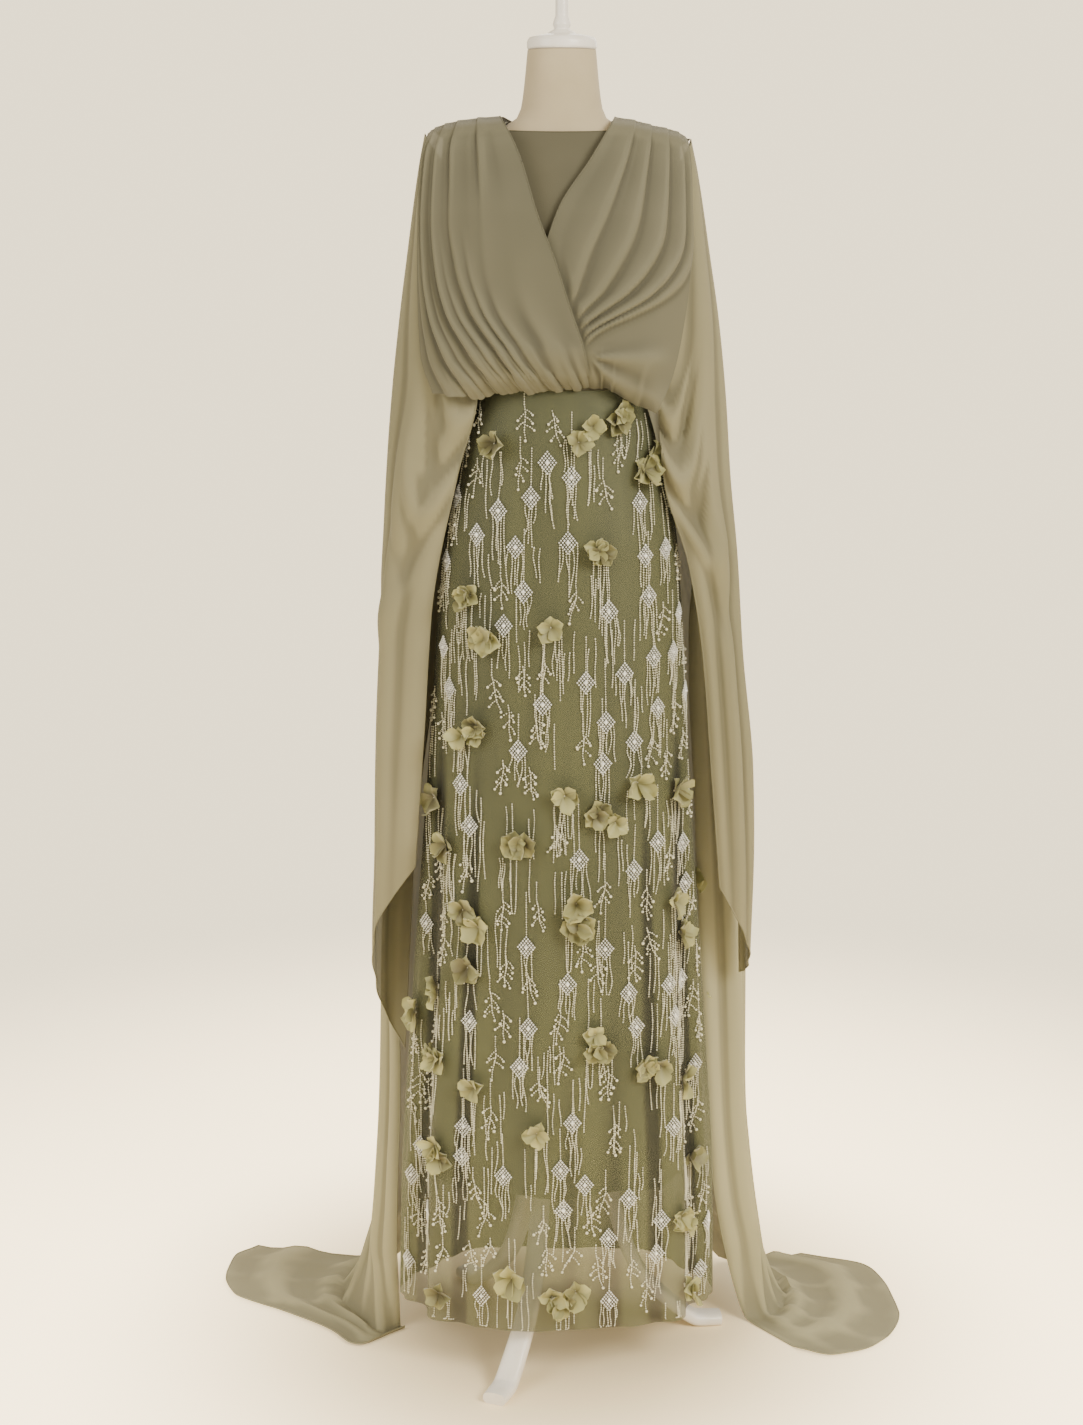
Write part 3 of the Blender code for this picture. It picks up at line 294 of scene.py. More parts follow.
CAPE_LEFT = table(
    SECTION_COLUMNS,
    (1.742, 0.15, -0.03, 0.175, 0.004, 0.15, 0.04), (1.69, 0.15, -0.04, 0.185, 0.006, 0.16, 0.058),
    (1.59, 0.148, -0.046, 0.2, 0.008, 0.162, 0.064), (1.5, 0.142, -0.048, 0.213, 0.008, 0.158, 0.068),
    (1.39, 0.133, -0.05, 0.224, 0.008, 0.166, 0.078), (1.29, 0.14, -0.06, 0.231, 0.008, 0.186, 0.082),
    (1.17, 0.176, -0.052, 0.243, 0.008, 0.212, 0.076), (1.04, 0.198, -0.044, 0.252, 0.006, 0.234, 0.062),
    (0.87, 0.213, -0.036, 0.27, 0.004, 0.25, 0.056), (0.71, 0.227, -0.028, 0.276, 0.004, 0.26, 0.05),
    (0.55, 0.24, -0.02, 0.274, 0.004, 0.264, 0.044),
)
CAPE_LEFT_HEM = table(
    "share height",
    (0.0, 0.7), (0.25, 0.64), (0.5, 0.59), (0.8, 0.56), (1.0, 0.55),
)
TRAIN_RIGHT = table(
    SECTION_COLUMNS,
    (1.66, 0.182, 0.086, 0.179, 0.098, 0.076, 0.117), (1.6, 0.194, 0.088, 0.191, 0.106, 0.072, 0.127),
    (1.4, 0.223, 0.09, 0.226, 0.118, 0.09, 0.152), (1.1, 0.238, 0.1, 0.242, 0.135, 0.115, 0.18),
    (0.8, 0.246, 0.104, 0.252, 0.138, 0.135, 0.195), (0.55, 0.242, 0.092, 0.261, 0.128, 0.15, 0.203),
    (0.36, 0.238, 0.062, 0.265, 0.11, 0.165, 0.208), (0.22, 0.242, 0.033, 0.273, 0.098, 0.182, 0.213),
    (0.12, 0.244, 0.022, 0.284, 0.098, 0.2, 0.218),
)
TRAIN_LEFT = table(
    SECTION_COLUMNS,
    (1.66, 0.176, 0.086, 0.173, 0.098, 0.076, 0.117), (1.6, 0.188, 0.088, 0.185, 0.106, 0.072, 0.127),
    (1.4, 0.204, 0.102, 0.212, 0.124, 0.09, 0.152), (1.25, 0.208, 0.106, 0.226, 0.13, 0.102, 0.166),
    (1.1, 0.188, 0.084, 0.237, 0.132, 0.115, 0.18), (1.04, 0.185, 0.072, 0.242, 0.13, 0.12, 0.184),
    (0.8, 0.196, 0.06, 0.258, 0.122, 0.135, 0.195), (0.55, 0.208, 0.052, 0.272, 0.11, 0.15, 0.203),
    (0.36, 0.218, 0.045, 0.274, 0.102, 0.165, 0.208), (0.22, 0.23, 0.042, 0.286, 0.098, 0.182, 0.213),
    (0.12, 0.248, 0.044, 0.301, 0.096, 0.2, 0.218),
)
TRAIN_TOP = table(
    "share lift",
    (0.012, 0.0024), (0.03, 0.0024), (0.065, 0.0034), (0.11, 0.0064),
)
TRAIN_YOKE = {"outer": 0.16, "inner": 0.088}
CAPE_POWER = 0.8
CAPE_TOP_POWER = 0.6
LANDING_REACH = 0.12

# Where each train meets the floor and where its hem lies, from its front edge to its back edge
FLOOR_COLUMNS = "share land_x land_y hem_x hem_y"
FLOOR_RIGHT = table(
    FLOOR_COLUMNS,
    (0.0, 0.242, 0.014, 0.233, 0.006), (0.08, 0.251, 0.005, 0.257, -0.015),
    (0.16, 0.262, -0.001, 0.298, -0.052), (0.3, 0.286, 0.021, 0.345, -0.002), (0.44, 0.306, 0.053, 0.42, 0.058),
    (0.58, 0.318, 0.093, 0.501, 0.115), (0.72, 0.316, 0.136, 0.524, 0.185), (0.86, 0.3, 0.186, 0.52, 0.248),
    (1.0, 0.248, 0.243, 0.486, 0.292),
)
FLOOR_LEFT = table(
    FLOOR_COLUMNS,
    (0.0, 0.276, 0.044, 0.354, -0.065), (0.16, 0.296, 0.05, 0.4, -0.084), (0.3, 0.312, 0.064, 0.45, -0.066),
    (0.44, 0.322, 0.086, 0.493, -0.02), (0.58, 0.326, 0.113, 0.517, 0.056), (0.72, 0.32, 0.146, 0.512, 0.135),
    (0.86, 0.3, 0.188, 0.492, 0.213), (1.0, 0.248, 0.243, 0.39, 0.262),
)

# A leg of the stand along its own direction
LEG = table(
    "reach height width thickness",
    (0.0313, 0.356, 0.025, 0.026), (0.048, 0.347, 0.025, 0.026), (0.062, 0.316, 0.026, 0.025),
    (0.074, 0.24, 0.027, 0.024), (0.092, 0.16, 0.029, 0.023), (0.122, 0.09, 0.031, 0.022),
    (0.168, 0.04, 0.034, 0.021), (0.208, 0.01, 0.036, 0.02), (0.226, 0.0085, 0.036, 0.0195),
    (0.245, 0.008, 0.034, 0.019),
)
LEG_ROUNDING = 0.7
LEG_DEGREES = {"leg_front": -22.6, "leg_left": 97.4, "leg_rear": 217.4}

# The turned cap on the neck, with its ball and plain rod
CAP = table(
    "radius height",
    (0.0, 1.8578), (0.045, 1.8578), (0.0468, 1.861), (0.0468, 1.869), (0.0435, 1.8745), (0.019, 1.879),
    (0.0165, 1.8815), (0.01, 1.885), (0.0123, 1.891), (0.01, 1.8985), (0.0086, 1.902), (0.0086, 1.948),
    (0.0052, 1.9555), (0.0, CAP_TOP_Z),
)


def smooth_at(keys, values, wanted):
    """Values between a table's rows, on a curve that never overshoots them."""
    order = np.argsort(keys)
    x, y = np.asarray(keys, float)[order], np.asarray(values, float)[order]
    steps = np.diff(x).reshape((-1,) + (1,) * (y.ndim - 1))
    slopes = np.diff(y, axis=0) / steps
    ends = np.concatenate((slopes[:1], np.zeros_like(slopes[:-1]), slopes[-1:]))
    same_way = slopes[:-1] * slopes[1:] > 0
    with np.errstate(divide="ignore", invalid="ignore"):
        harmonic = 2.0 / (1.0 / slopes[:-1] + 1.0 / slopes[1:])
    ends[1:-1] = np.where(same_way, harmonic, 0.0)
    wanted = np.clip(wanted, x[0], x[-1])
    row = np.clip(np.searchsorted(x, wanted) - 1, 0, len(x) - 2)
    t = (wanted - x[row]) / np.diff(x)[row]
    rise = np.diff(x)[row]
    if y.ndim > 1:
        t, rise = t[:, None], rise[:, None]
    return (y[row] * (2 * t**3 - 3 * t**2 + 1) + ends[row] * rise * (t**3 - 2 * t**2 + t)
            + y[row + 1] * (3 * t**2 - 2 * t**3) + ends[row + 1] * rise * (t**3 - t**2))


def read(rows, column, key, wanted):
    return smooth_at(rows[key], rows[column], wanted)


def ease(value):
    """From 0 to 1 with a soft start and end."""
    value = np.clip(value, 0.0, 1.0)
    return value * value * (3.0 - 2.0 * value)


def section_point(rows, height, degrees, grow=0.0, centre_x=0.0):
    """A point on a body section: 0 degrees is the front, 90 the wearer's left."""
    angle = np.radians(degrees)
    half_width = read(rows, "half_width", "height", height) + grow
    front = read(rows, "front", "height", height) + grow
    back = read(rows, "back", "height", height) + grow
    depth = np.where(np.cos(angle) > 0, front, back)
    power = 2.0 / SECTION_POWER
    x = centre_x + half_width * rounded(np.sin(angle), power)
    y = -depth * rounded(np.cos(angle), power)
    return np.stack(np.broadcast_arrays(x, y, height), axis=-1)


def unit(vectors):
    return vectors / np.maximum(np.linalg.norm(vectors, axis=-1, keepdims=True), 1e-12)


def grid_normals(grid, closed=False):
    """Unit normals of a grid whose rows run down and whose columns run anticlockwise."""
    if closed:
        across = np.roll(grid, -1, axis=1) - np.roll(grid, 1, axis=1)
    else:
        across = np.gradient(grid, axis=1)
    return unit(np.cross(np.gradient(grid, axis=0), across))


def level_normals(grid):
    """The same normals, kept level."""
    normals = grid_normals(grid)
    normals[..., 2] = 0.0
    return unit(normals)


def rounded(value, power):
    """A circle's sine or cosine, made fuller at the corners by a power under one."""
    return np.sign(value) * np.abs(value) ** power


def torso_side(y, height, clear):
    """How far the form, grown by a clearance, reaches to the side at a depth and a height."""
    half_width = read(TORSO, "half_width", "height", height) + clear
    depth = clear + np.where(y < 0, read(TORSO, "front", "height", height),
                             read(TORSO, "back", "height", height))
    inside = np.clip(1.0 - np.abs(y / depth) ** SECTION_POWER, 0.0, 1.0)
    return half_width * inside ** (1.0 / SECTION_POWER)


def to_side(grid, side):
    """Mirror a grid drawn on the wearer's left, keeping its columns anticlockwise."""
    if side > 0:
        return grid
    return (grid * np.array([-1.0, 1.0, 1.0]))[:, ::-1]


def grid_faces(rows, columns, closed, start=0, flip=False):
    """The quads of a grid of points as numbers, running down and then across."""
    i = np.arange(rows - 1)[:, None]
    j = np.arange(columns if closed else columns - 1)[None, :]
    k = (j + 1) % columns
    corners = [i * columns + j, (i + 1) * columns + j, (i + 1) * columns + k, i * columns + k]
    if flip:
        corners = corners[::-1]
    return start + np.stack([np.broadcast_to(c, np.broadcast(i, j).shape) for c in corners],
                            axis=-1).reshape(-1, 4)


def rim_faces(outer, inner):
    """Quads that close a wall along one edge, from two rows of point numbers."""
    return np.stack([outer[:-1], outer[1:], inner[1:], inner[:-1]], axis=-1)


def tube(path, radius, sides=6):
    """A closed thin tube along a path, for a rolled hem."""
    along = unit(np.gradient(path, axis=0))
    guide = np.where(np.abs(along[:, 2:]) > 0.9, [[0.0, 1.0, 0.0]], [[0.0, 0.0, 1.0]])
    first = unit(np.cross(along, guide))
    second = np.cross(along, first)
    turn = np.linspace(0, math.tau, sides, endpoint=False)
    ring = (np.cos(turn)[None, :, None] * first[:, None] + np.sin(turn)[None, :, None] * second[:, None])
    points = (path[:, None] + ring * radius).reshape(-1, 3)
    count = len(path)
    faces = grid_faces(count, sides, True, flip=True)
    points = np.concatenate([points, path[:1], path[-1:]])
    j = np.arange(sides)
    k = (j + 1) % sides
    start = np.stack([np.full(sides, count * sides), k, j], axis=-1)
    last = np.stack([np.full(sides, count * sides + 1), (count - 1) * sides + j,
                     (count - 1) * sides + k], axis=-1)
    return points, [*faces.tolist(), *start.tolist(), *last.tolist()]


def add_object(name, data):
    """A new object in the scene."""
    made = bpy.data.objects.new(name, data)
    bpy.context.scene.collection.objects.link(made)
    return made


class Stock:
    """Points, faces and cloth coordinates gathered for one mesh."""

    def __init__(self):
        self.points, self.faces, self.uv, self.shade, self.count = [], [], [], [], 0

    def add(self, points, faces, uv=None, shade=0.5):
        points = np.asarray(points, float).reshape(-1, 3)
        self.faces.extend([[corner + self.count for corner in face] for face in faces])
        self.points.append(points)
        self.uv.append(points[:, [0, 2]] if uv is None else uv)
        self.shade.append(np.broadcast_to(np.asarray(shade, float), (len(points),)))
        self.count += len(points)

    def make(self, name, material, sharp=60.0):
        """One object with its place in its mesh, its cloth coordinates and its shade."""
        points = np.concatenate(self.points) + ON_AXIS
        mesh = bpy.data.meshes.new(name)
        mesh.from_pydata(points.tolist(), [], self.faces)
        corners = np.empty(len(mesh.loops), dtype=np.int32)
        mesh.loops.foreach_get("vertex_index", corners)
        layer = mesh.uv_layers.new(name="cloth")
        layer.data.foreach_set("uv", np.concatenate(self.uv)[corners].astype(np.float32).ravel())
        shade = mesh.attributes.new("shade", "FLOAT", "POINT")
        shade.data.foreach_set("value", np.concatenate(self.shade).astype(np.float32))
        mesh.validate()
        mesh.shade_smooth()
        mesh.set_sharp_from_angle(angle=math.radians(sharp))
        mesh.materials.append(material)
        return add_object(name, mesh)


def cloth_coordinates(grid):
    """How far each point lies across and down its piece, in metres, along the cloth."""
    across = np.linalg.norm(np.diff(grid, axis=1), axis=-1).mean(axis=0)
    down = np.linalg.norm(np.diff(grid, axis=0), axis=-1).mean(axis=1)
    u = np.concatenate([[0.0], np.cumsum(across)])
    v = np.concatenate([[0.0], np.cumsum(down)])
    return np.stack(np.broadcast_arrays(u[None, :], -v[:, None]), axis=-1)


def fold_shade(grid, normals, closed, reaches):
    """How far each point stands out from the cloth beside it: 0 in a trough, 1 on a ridge."""
    relief = np.zeros(grid.shape[:2])
    for reach, scale in reaches:
        if closed:
            beside = (np.roll(grid, reach, axis=1) + np.roll(grid, -reach, axis=1)) / 2
        else:
            wide = np.pad(grid, ((0, 0), (reach, reach), (0, 0)), mode="reflect", reflect_type="odd")
            beside = (wide[:, 2 * reach:] + wide[:, :-2 * reach]) / 2
        relief = relief + ((grid - beside) * normals).sum(axis=-1) / scale
        tall = np.pad(grid, ((reach, reach), (0, 0), (0, 0)), mode="reflect", reflect_type="odd")
        above = (tall[2 * reach:] + tall[:-2 * reach]) / 2
        relief = relief + ((grid - above) * normals).sum(axis=-1) / scale * ROW_SHADE
    return np.clip(0.5 + 0.5 * relief, 0.0, 1.0).ravel()


def wall_faces(rows, columns, closed=False):
    """The faces of a closed thin wall: its two sides and the rims between them."""
    size = rows * columns
    number = np.arange(size).reshape(rows, columns)
    top, low = (np.append(line, line[0]) if closed else line for line in (number[0], number[-1]))
    faces = [grid_faces(rows, columns, closed), grid_faces(rows, columns, closed, start=size, flip=True),
             rim_faces(top, top + size), rim_faces(low, low + size)[:, ::-1]]
    if not closed:
        faces += [rim_faces(number[:, 0], number[:, 0] + size)[:, ::-1],
                  rim_faces(number[:, -1], number[:, -1] + size)]
    return np.concatenate(faces).tolist()


def add_cloth(stock, grid, thickness, hem_radius, closed=False, floor=None, hems=(), reaches=FOLD_REACHES):
    """A closed thin wall about a grid of middle points, with a rolled hem on the edges named."""
    normals = grid_normals(grid, closed)
    outer = grid + normals * thickness / 2
    inner = grid - normals * thickness / 2
    if floor is not None:
        inner[..., 2] = np.maximum(inner[..., 2], floor)
        outer[..., 2] = np.maximum(outer[..., 2], floor + thickness)
    uv = cloth_coordinates(grid).reshape(-1, 2)
    # The shade attribute drives painted shade in the troughs of folds and a painted highlight on their ridges
    shade = fold_shade(grid, normals, closed, reaches)
    stock.add(np.concatenate([outer.reshape(-1, 3), inner.reshape(-1, 3)]), wall_faces(*grid.shape[:2], closed),
              np.tile(uv, (2, 1)), np.tile(shade, 2))
    edges = {"top": grid[0], "bottom": grid[-1], "left": grid[:, 0], "right": grid[:, -1]}
    for edge in hems:
        path = edges[edge].copy()
        if closed:
            path = np.concatenate([path, path[:1]])
        if floor is not None:
            path[:, 2] = np.maximum(path[:, 2], floor + hem_radius)
        stock.add(*tube(path, hem_radius))


def declare(piece, nodes, sheet=None):
    """Attach a piece to the frame's root, and hide the parts of the model that it stands for."""
    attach(piece, "root")
    if nodes:
        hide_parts(*nodes)
    if sheet:
        flat, held, rests_on = sheet
        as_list(rests_on)


# Folds. Each row of a table is one fold of its own: where it lies, how wide it is,
# and its height at each key down the piece, in millimetres. Ridges are positive.

WRAP_KEYS = (0.0, 0.12, 0.35, 0.6, 0.82, 1.0)
OVER_FOLDS = (
    # line rise fall_top fall_low heights
    (0.1, 0.08, 0.05, 0.036, 0.0, 0.0, 0.0, 0.2, 2.6, 4.4),
    (0.2, 0.09, 0.01, 0.04, 3.2, 3.4, 0.6, 0.4, 4.2, 5.6),
    (0.3, 0.08, 0.05, 0.036, 0.0, 0.0, 0.0, 2.6, 6.8, 5.6),
    (0.4, 0.12, 0.012, 0.04, 3.2, 3.6, 2.0, 4.2, 7.6, 6.6),
    (0.505, 0.075, 0.05, 0.03, 0.0, 0.0, 0.0, 1.8, 5.2, 3.8),
    (0.6, 0.13, 0.012, 0.04, 3.0, 4.2, 4.2, 7.6, 8.6, 5.4),
    (0.705, 0.07, 0.05, 0.032, 0.0, 0.0, 0.0, 1.6, 3.8, 4.2),
    (0.8, 0.12, 0.014, 0.04, 2.6, 4.0, 5.2, 8.4, 8.8, 5.8),
    (0.915, 0.08, 0.016, 0.036, 2.0, 2.8, 3.4, 4.0, 5.2, 4.6),
)
UNDER_FOLDS = (
    (0.2, 0.14, 0.012, 0.05, 3.2, 4.4, 4.4, 3.8, 2.2, 1.4),
    (0.4, 0.14, 0.012, 0.07, 3.4, 4.8, 5.4, 6.2, 4.6, 1.4),
    (0.6, 0.16, 0.012, 0.07, 3.4, 4.8, 6.8, 8.6, 6.2, 1.8),
    (0.8, 0.16, 0.014, 0.08, 3.0, 4.4, 7.2, 9.0, 6.8, 2.0),
    (0.95, 0.11, 0.016, 0.1, 2.0, 3.0, 4.8, 6.4, 6.0, 1.8),
)
# Where the under wrap's drapes meet: the line, how far they close, and the shares over which they do
PULL = {"line": 0.3, "draw": 0.6, "from": 0.4, "over": 0.46, "beneath": 0.22, "dives": 0.62,
        "dives_over": 0.28}
# Tucks below that point: degrees below the level, half width in degrees, height
TUCK_FROM = (0.034, 1.458)
TUCKS = ((2.0, 9.0, 4.6), (24.0, 8.0, -2.2), (42.0, 9.0, 4.2), (63.0, 8.0, -1.8), (80.0, 9.0, 3.0))
# Small gathers into the waist: line, half width, height
OVER_GATHERS = ((0.03, 0.012, 2.8), (0.072, 0.01, 3.6), (0.125, 0.014, 3.0), (0.168, 0.01, 4.0),
                (0.235, 0.012, 3.4), (0.272, 0.009, 2.8), (0.338, 0.013, 4.0), (0.386, 0.01, 2.6),
                (0.452, 0.014, 3.4), (0.54, 0.012, 2.6), (0.64, 0.015, 3.0), (0.76, 0.014, 2.2),
                (0.86, 0.016, 2.6))
UNDER_GATHERS = ((0.12, 0.018, 1.2), (0.27, 0.014, 1.6), (0.36, 0.012, 1.2), (0.55, 0.014, 1.4),
                 (0.66, 0.016, 1.0), (0.87, 0.016, 1.2))
BACK_FOLDS = (
    (0.12, 0.08, 0.012, 0.045, 1.6, 2.4, 2.0, 1.4, 2.6, 2.0),
    (0.3, 0.12, 0.01, 0.05, 2.2, 3.2, 3.0, 2.0, 3.2, 2.2),
    (0.48, 0.11, 0.01, 0.04, 2.2, 3.0, 1.6, 1.0, 2.4, 2.0),
    (0.59, 0.06, 0.04, 0.04, 0.0, 0.0, 1.0, 2.2, 2.8, 1.8),
    (0.72, 0.1, 0.012, 0.055, 1.8, 2.2, 0.8, 0.6, 2.0, 2.2),
    (0.86, 0.07, 0.05, 0.045, 0.0, 0.0, 0.4, 1.2, 1.8, 1.6),
)
BACK_GATHERS = ((0.06, 0.014, 1.2), (0.19, 0.012, 1.6), (0.25, 0.01, 1.0), (0.37, 0.013, 1.6),
                (0.45, 0.01, 1.2), (0.55, 0.014, 1.4), (0.66, 0.011, 1.0), (0.79, 0.013, 1.4),
                (0.93, 0.012, 1.0))

# Hanging folds: share of the width at the top and at the low end, half width in shares, heights
CAPE_KEYS = (1.72, 1.6, 1.42, 1.2, 0.95, 0.6)
CAPE_RIGHT_FOLDS = (
    (0.06, 0.05, 0.045, 0.0, 1.6, 2.0, 2.8, 3.2, 2.4), (0.15, 0.17, 0.04, 1.0, -1.6, -4.0, -3.6, -3.2, -4.0),
    (0.27, 0.285, 0.055, 1.2, 2.4, 4.0, 4.8, 5.6, 4.8), (0.375, 0.4, 0.04, -0.8, -2.4, -4.0, -5.6, -5.2, -5.6),
    (0.48, 0.5, 0.05, 1.1, 2.4, 3.2, 5.2, 4.4, 4.8), (0.585, 0.575, 0.035, -1.0, -1.6, -3.6, -4.4, -6.0, -4.8),
    (0.68, 0.66, 0.045, 1.2, 2.4, 4.0, 4.4, 4.8, 6.0), (0.785, 0.77, 0.04, -0.8, -2.0, -2.8, -4.4, -4.0, -4.8),
    (0.9, 0.88, 0.05, 0.8, 1.6, 2.8, 3.6, 4.0, 3.2),
)
CAPE_LEFT_FOLDS = (
    (0.07, 0.06, 0.045, 0.0, 1.2, 1.6, 3.2, 4.0, 3.2), (0.17, 0.15, 0.038, 0.8, -2.0, -3.2, -4.4, -4.8, -4.0),
    (0.29, 0.26, 0.05, 1.3, 2.0, 3.2, 5.2, 4.8, 5.6), (0.41, 0.37, 0.04, -1.0, -1.6, -3.6, -4.8, -6.0, -5.6),
    (0.52, 0.48, 0.055, 1.0, 2.4, 4.0, 4.8, 5.2, 4.0), (0.62, 0.6, 0.035, -0.8, -2.0, -2.8, -4.0, -4.4, -5.2),
    (0.71, 0.7, 0.045, 1.1, 2.0, 3.6, 4.4, 5.6, 4.8), (0.82, 0.81, 0.04, -1.0, -1.6, -2.8, -3.6, -4.0, -4.4),
    (0.92, 0.91, 0.045, 0.8, 1.6, 2.4, 3.2, 3.2, 4.0),
)
# Curved creases: share and height of the lowest point, how fast the ends rise, reach, half width, height
CAPE_RIGHT_SWAGS = (
    (0.06, 1.366, 4.0, 0.11, 0.02, 8.0), (0.09, 1.304, 4.0, 0.12, 0.022, -7.5),
    (0.13, 1.24, 3.5, 0.13, 0.025, 8.0), (0.2, 1.17, 2.5, 0.15, 0.03, -6.0), (0.3, 1.09, 2.0, 0.16, 0.036, 5.5),
)
CAPE_LEFT_SWAGS = (
    (0.06, 1.372, 4.5, 0.1, 0.017, 11.0), (0.08, 1.33, 4.5, 0.11, 0.018, -11.0),
    (0.1, 1.284, 4.0, 0.12, 0.02, 12.0), (0.14, 1.232, 3.5, 0.13, 0.023, -11.0),
    (0.19, 1.174, 3.0, 0.14, 0.028, 9.0), (0.27, 1.094, 2.0, 0.16, 0.036, -6.0),
)
# Soft ridges across the cloth that lies on the floor: how far out, its slant, half width, height
FLOOR_RIDGES = ((-0.22, 0.18, 0.1, 0.013), (-0.58, -0.24, 0.12, 0.01))
TRAIN_KEYS = (1.62, 1.35, 1.0, 0.6, 0.2, 0.0, -0.4, -1.0)
TRAIN_RIGHT_FOLDS = (
    (0.02, 0.03, 0.05, 1.5, 4.0, 6.0, 7.0, 6.0, 1.8, 0.4, 0.2),
    (0.11, 0.12, 0.03, -1.5, -4.0, -6.0, -8.0, -6.0, 0.0, 0.0, 0.0),
    (0.2, 0.19, 0.038, 1.0, 3.0, 5.5, 7.0, 8.0, 3.1, 0.7, 0.4),
    (0.29, 0.27, 0.03, -1.0, -4.0, -7.0, -8.0, -6.0, 0.0, 0.0, 0.0),
    (0.37, 0.35, 0.04, 1.5, 4.5, 7.0, 8.0, 6.0, 1.8, 0.4, 0.4),
    (0.46, 0.45, 0.032, -1.2, -3.0, -6.0, -7.5, -6.0, 0.0, 0.0, 0.0),
    (0.55, 0.535, 0.036, 1.2, 4.0, 6.0, 7.0, 9.0, 8.1, 2.7, 1.2),
    (0.64, 0.64, 0.03, -1.5, -4.5, -7.0, -8.0, -6.0, 0.9, 0.2, 0.0),
    (0.725, 0.735, 0.036, 1.0, 3.0, 6.0, 8.0, 10.0, 9.5, 2.5, 0.9),
    (0.81, 0.82, 0.03, -1.0, -4.0, -5.5, -7.0, -6.0, 0.9, 0.2, 0.0),
    (0.9, 0.9, 0.038, 1.5, 4.0, 6.5, 7.0, 9.0, 7.7, 2.2, 0.7),
    (0.975, 0.98, 0.025, -1.0, -2.0, -3.0, -4.0, -3.0, 0.0, 0.0, 0.0),
)
TRAIN_LEFT_FOLDS = (
    (0.03, 0.02, 0.045, 1.0, 3.5, 6.0, 7.5, 6.0, 3.6, 0.9, 0.6),
    (0.12, 0.11, 0.03, -1.2, -3.5, -6.0, -7.0, -6.0, 0.0, 0.0, 0.0),
    (0.21, 0.215, 0.04, 1.5, 4.0, 6.5, 8.0, 9.0, 7.7, 2.2, 0.9),
    (0.3, 0.305, 0.028, -1.0, -3.0, -5.5, -7.5, -6.0, 0.5, 0.0, 0.0),
    (0.385, 0.38, 0.036, 1.2, 4.0, 6.0, 7.0, 8.0, 6.8, 3.1, 1.4),
    (0.47, 0.47, 0.03, -1.5, -4.5, -7.0, -8.0, -6.0, 0.5, 0.2, 0.0),
    (0.56, 0.56, 0.042, 1.0, 3.5, 6.0, 8.0, 10.0, 9.0, 2.2, 0.7),
    (0.65, 0.65, 0.03, -1.2, -3.5, -6.0, -7.0, -5.0, 0.9, 0.0, 0.0),
    (0.735, 0.73, 0.036, 1.4, 4.0, 6.5, 7.5, 8.0, 6.3, 2.7, 1.2),
    (0.825, 0.815, 0.032, -1.0, -3.5, -6.5, -8.0, -6.0, 0.5, 0.0, 0.0),
    (0.905, 0.9, 0.036, 1.2, 3.0, 6.0, 7.0, 9.0, 7.2, 1.6, 0.6),
    (0.98, 0.98, 0.024, -1.0, -2.0, -3.0, -3.0, -3.0, 0.0, 0.0, 0.0),
)

# Fine upright folds of the net, between its main ones: degrees, half width, height, start
FINE_NET_FOLDS = (
    (-37.0, 3.2, -3.5, 1.02), (-29.0, 3.0, 2.4, 0.92), (-57.5, 3.4, -3.0, 1.0), (-76.0, 4.0, 4.0, 1.1),
    (-82.5, 3.0, -3.0, 0.95), (-6.0, 4.0, 1.8, 0.8), (4.0, 3.4, -1.8, 0.66), (27.0, 3.4, 2.6, 0.9),
    (38.0, 3.4, -3.8, 1.0), (57.0, 3.0, -2.8, 0.96), (75.0, 4.0, 4.2, 1.05), (82.0, 3.2, -3.2, 0.98),
    (101.0, 3.6, 4.0, 1.05), (109.0, 3.0, -2.5, 0.9), (128.0, 4.2, 4.0, 1.0), (136.0, 3.0, -3.0, 0.84),
    (158.0, 3.6, -3.2, 0.94), (166.0, 4.0, 3.4, 1.04), (-170.0, 4.0, 3.8, 1.08), (-161.0, 3.2, -2.6, 0.86),
    (-138.0, 4.0, -3.4, 0.98), (-130.0, 3.4, 3.6, 1.02), (-108.0, 3.6, 4.2, 1.06), (-99.0, 3.2, -3.0, 0.9),
)


def wrap_folds(line, share, folds, gathers, draw=None):
    """Height of a blouse piece's folds: each rises slowly to its edge and falls behind it."""
    height = np.zeros(np.broadcast(line, share).shape)
    share = np.broadcast_to(share, height.shape)
    gathered, line = line, draw(line, share) if draw else line
    for at, rise, fall_top, fall_low, *heights in folds:
        size = smooth_at(WRAP_KEYS, heights, share.ravel()).reshape(share.shape) / 1000
        fall = fall_top + (fall_low - fall_top) * ease(share / 0.6)
        ahead = ease(1.0 + (line - at) / rise)
        behind = 1.0 - ease((line - at) / fall)
        height = height + size * np.where(line < at, ahead, behind)
    near_waist = ease((share - GATHER_FROM) / (1.0 - GATHER_FROM))
    for at, width, tall in gathers:
        height = height + tall / 1000 * near_waist * np.exp(-((gathered - at) / width) ** 2)
    return height


def drawn_together(line, share):
    """The under wrap's lines, drawn together toward the over wrap's edge above the waist."""
    close = 1.0 - PULL["draw"] * ease((share - PULL["from"]) / PULL["over"])
    meeting = PULL["line"] - PULL["beneath"] * ease((share - PULL["dives"]) / PULL["dives_over"])
    return PULL["line"] + (line - meeting) / close


def tucks(x, z):
    """Height of the flat tucks that fan out from where the drapes pass beneath the over wrap."""
    away = np.hypot(x - TUCK_FROM[0], z - TUCK_FROM[1])
    slope = np.degrees(np.arctan2(TUCK_FROM[1] - z, x - TUCK_FROM[0]))
    near = ease((away - 0.006) / 0.02) * (1.0 - ease((away - 0.075) / 0.05))
    return near * sum(tall / 1000 * np.exp(-((slope - at) / width) ** 2) for at, width, tall in TUCKS)


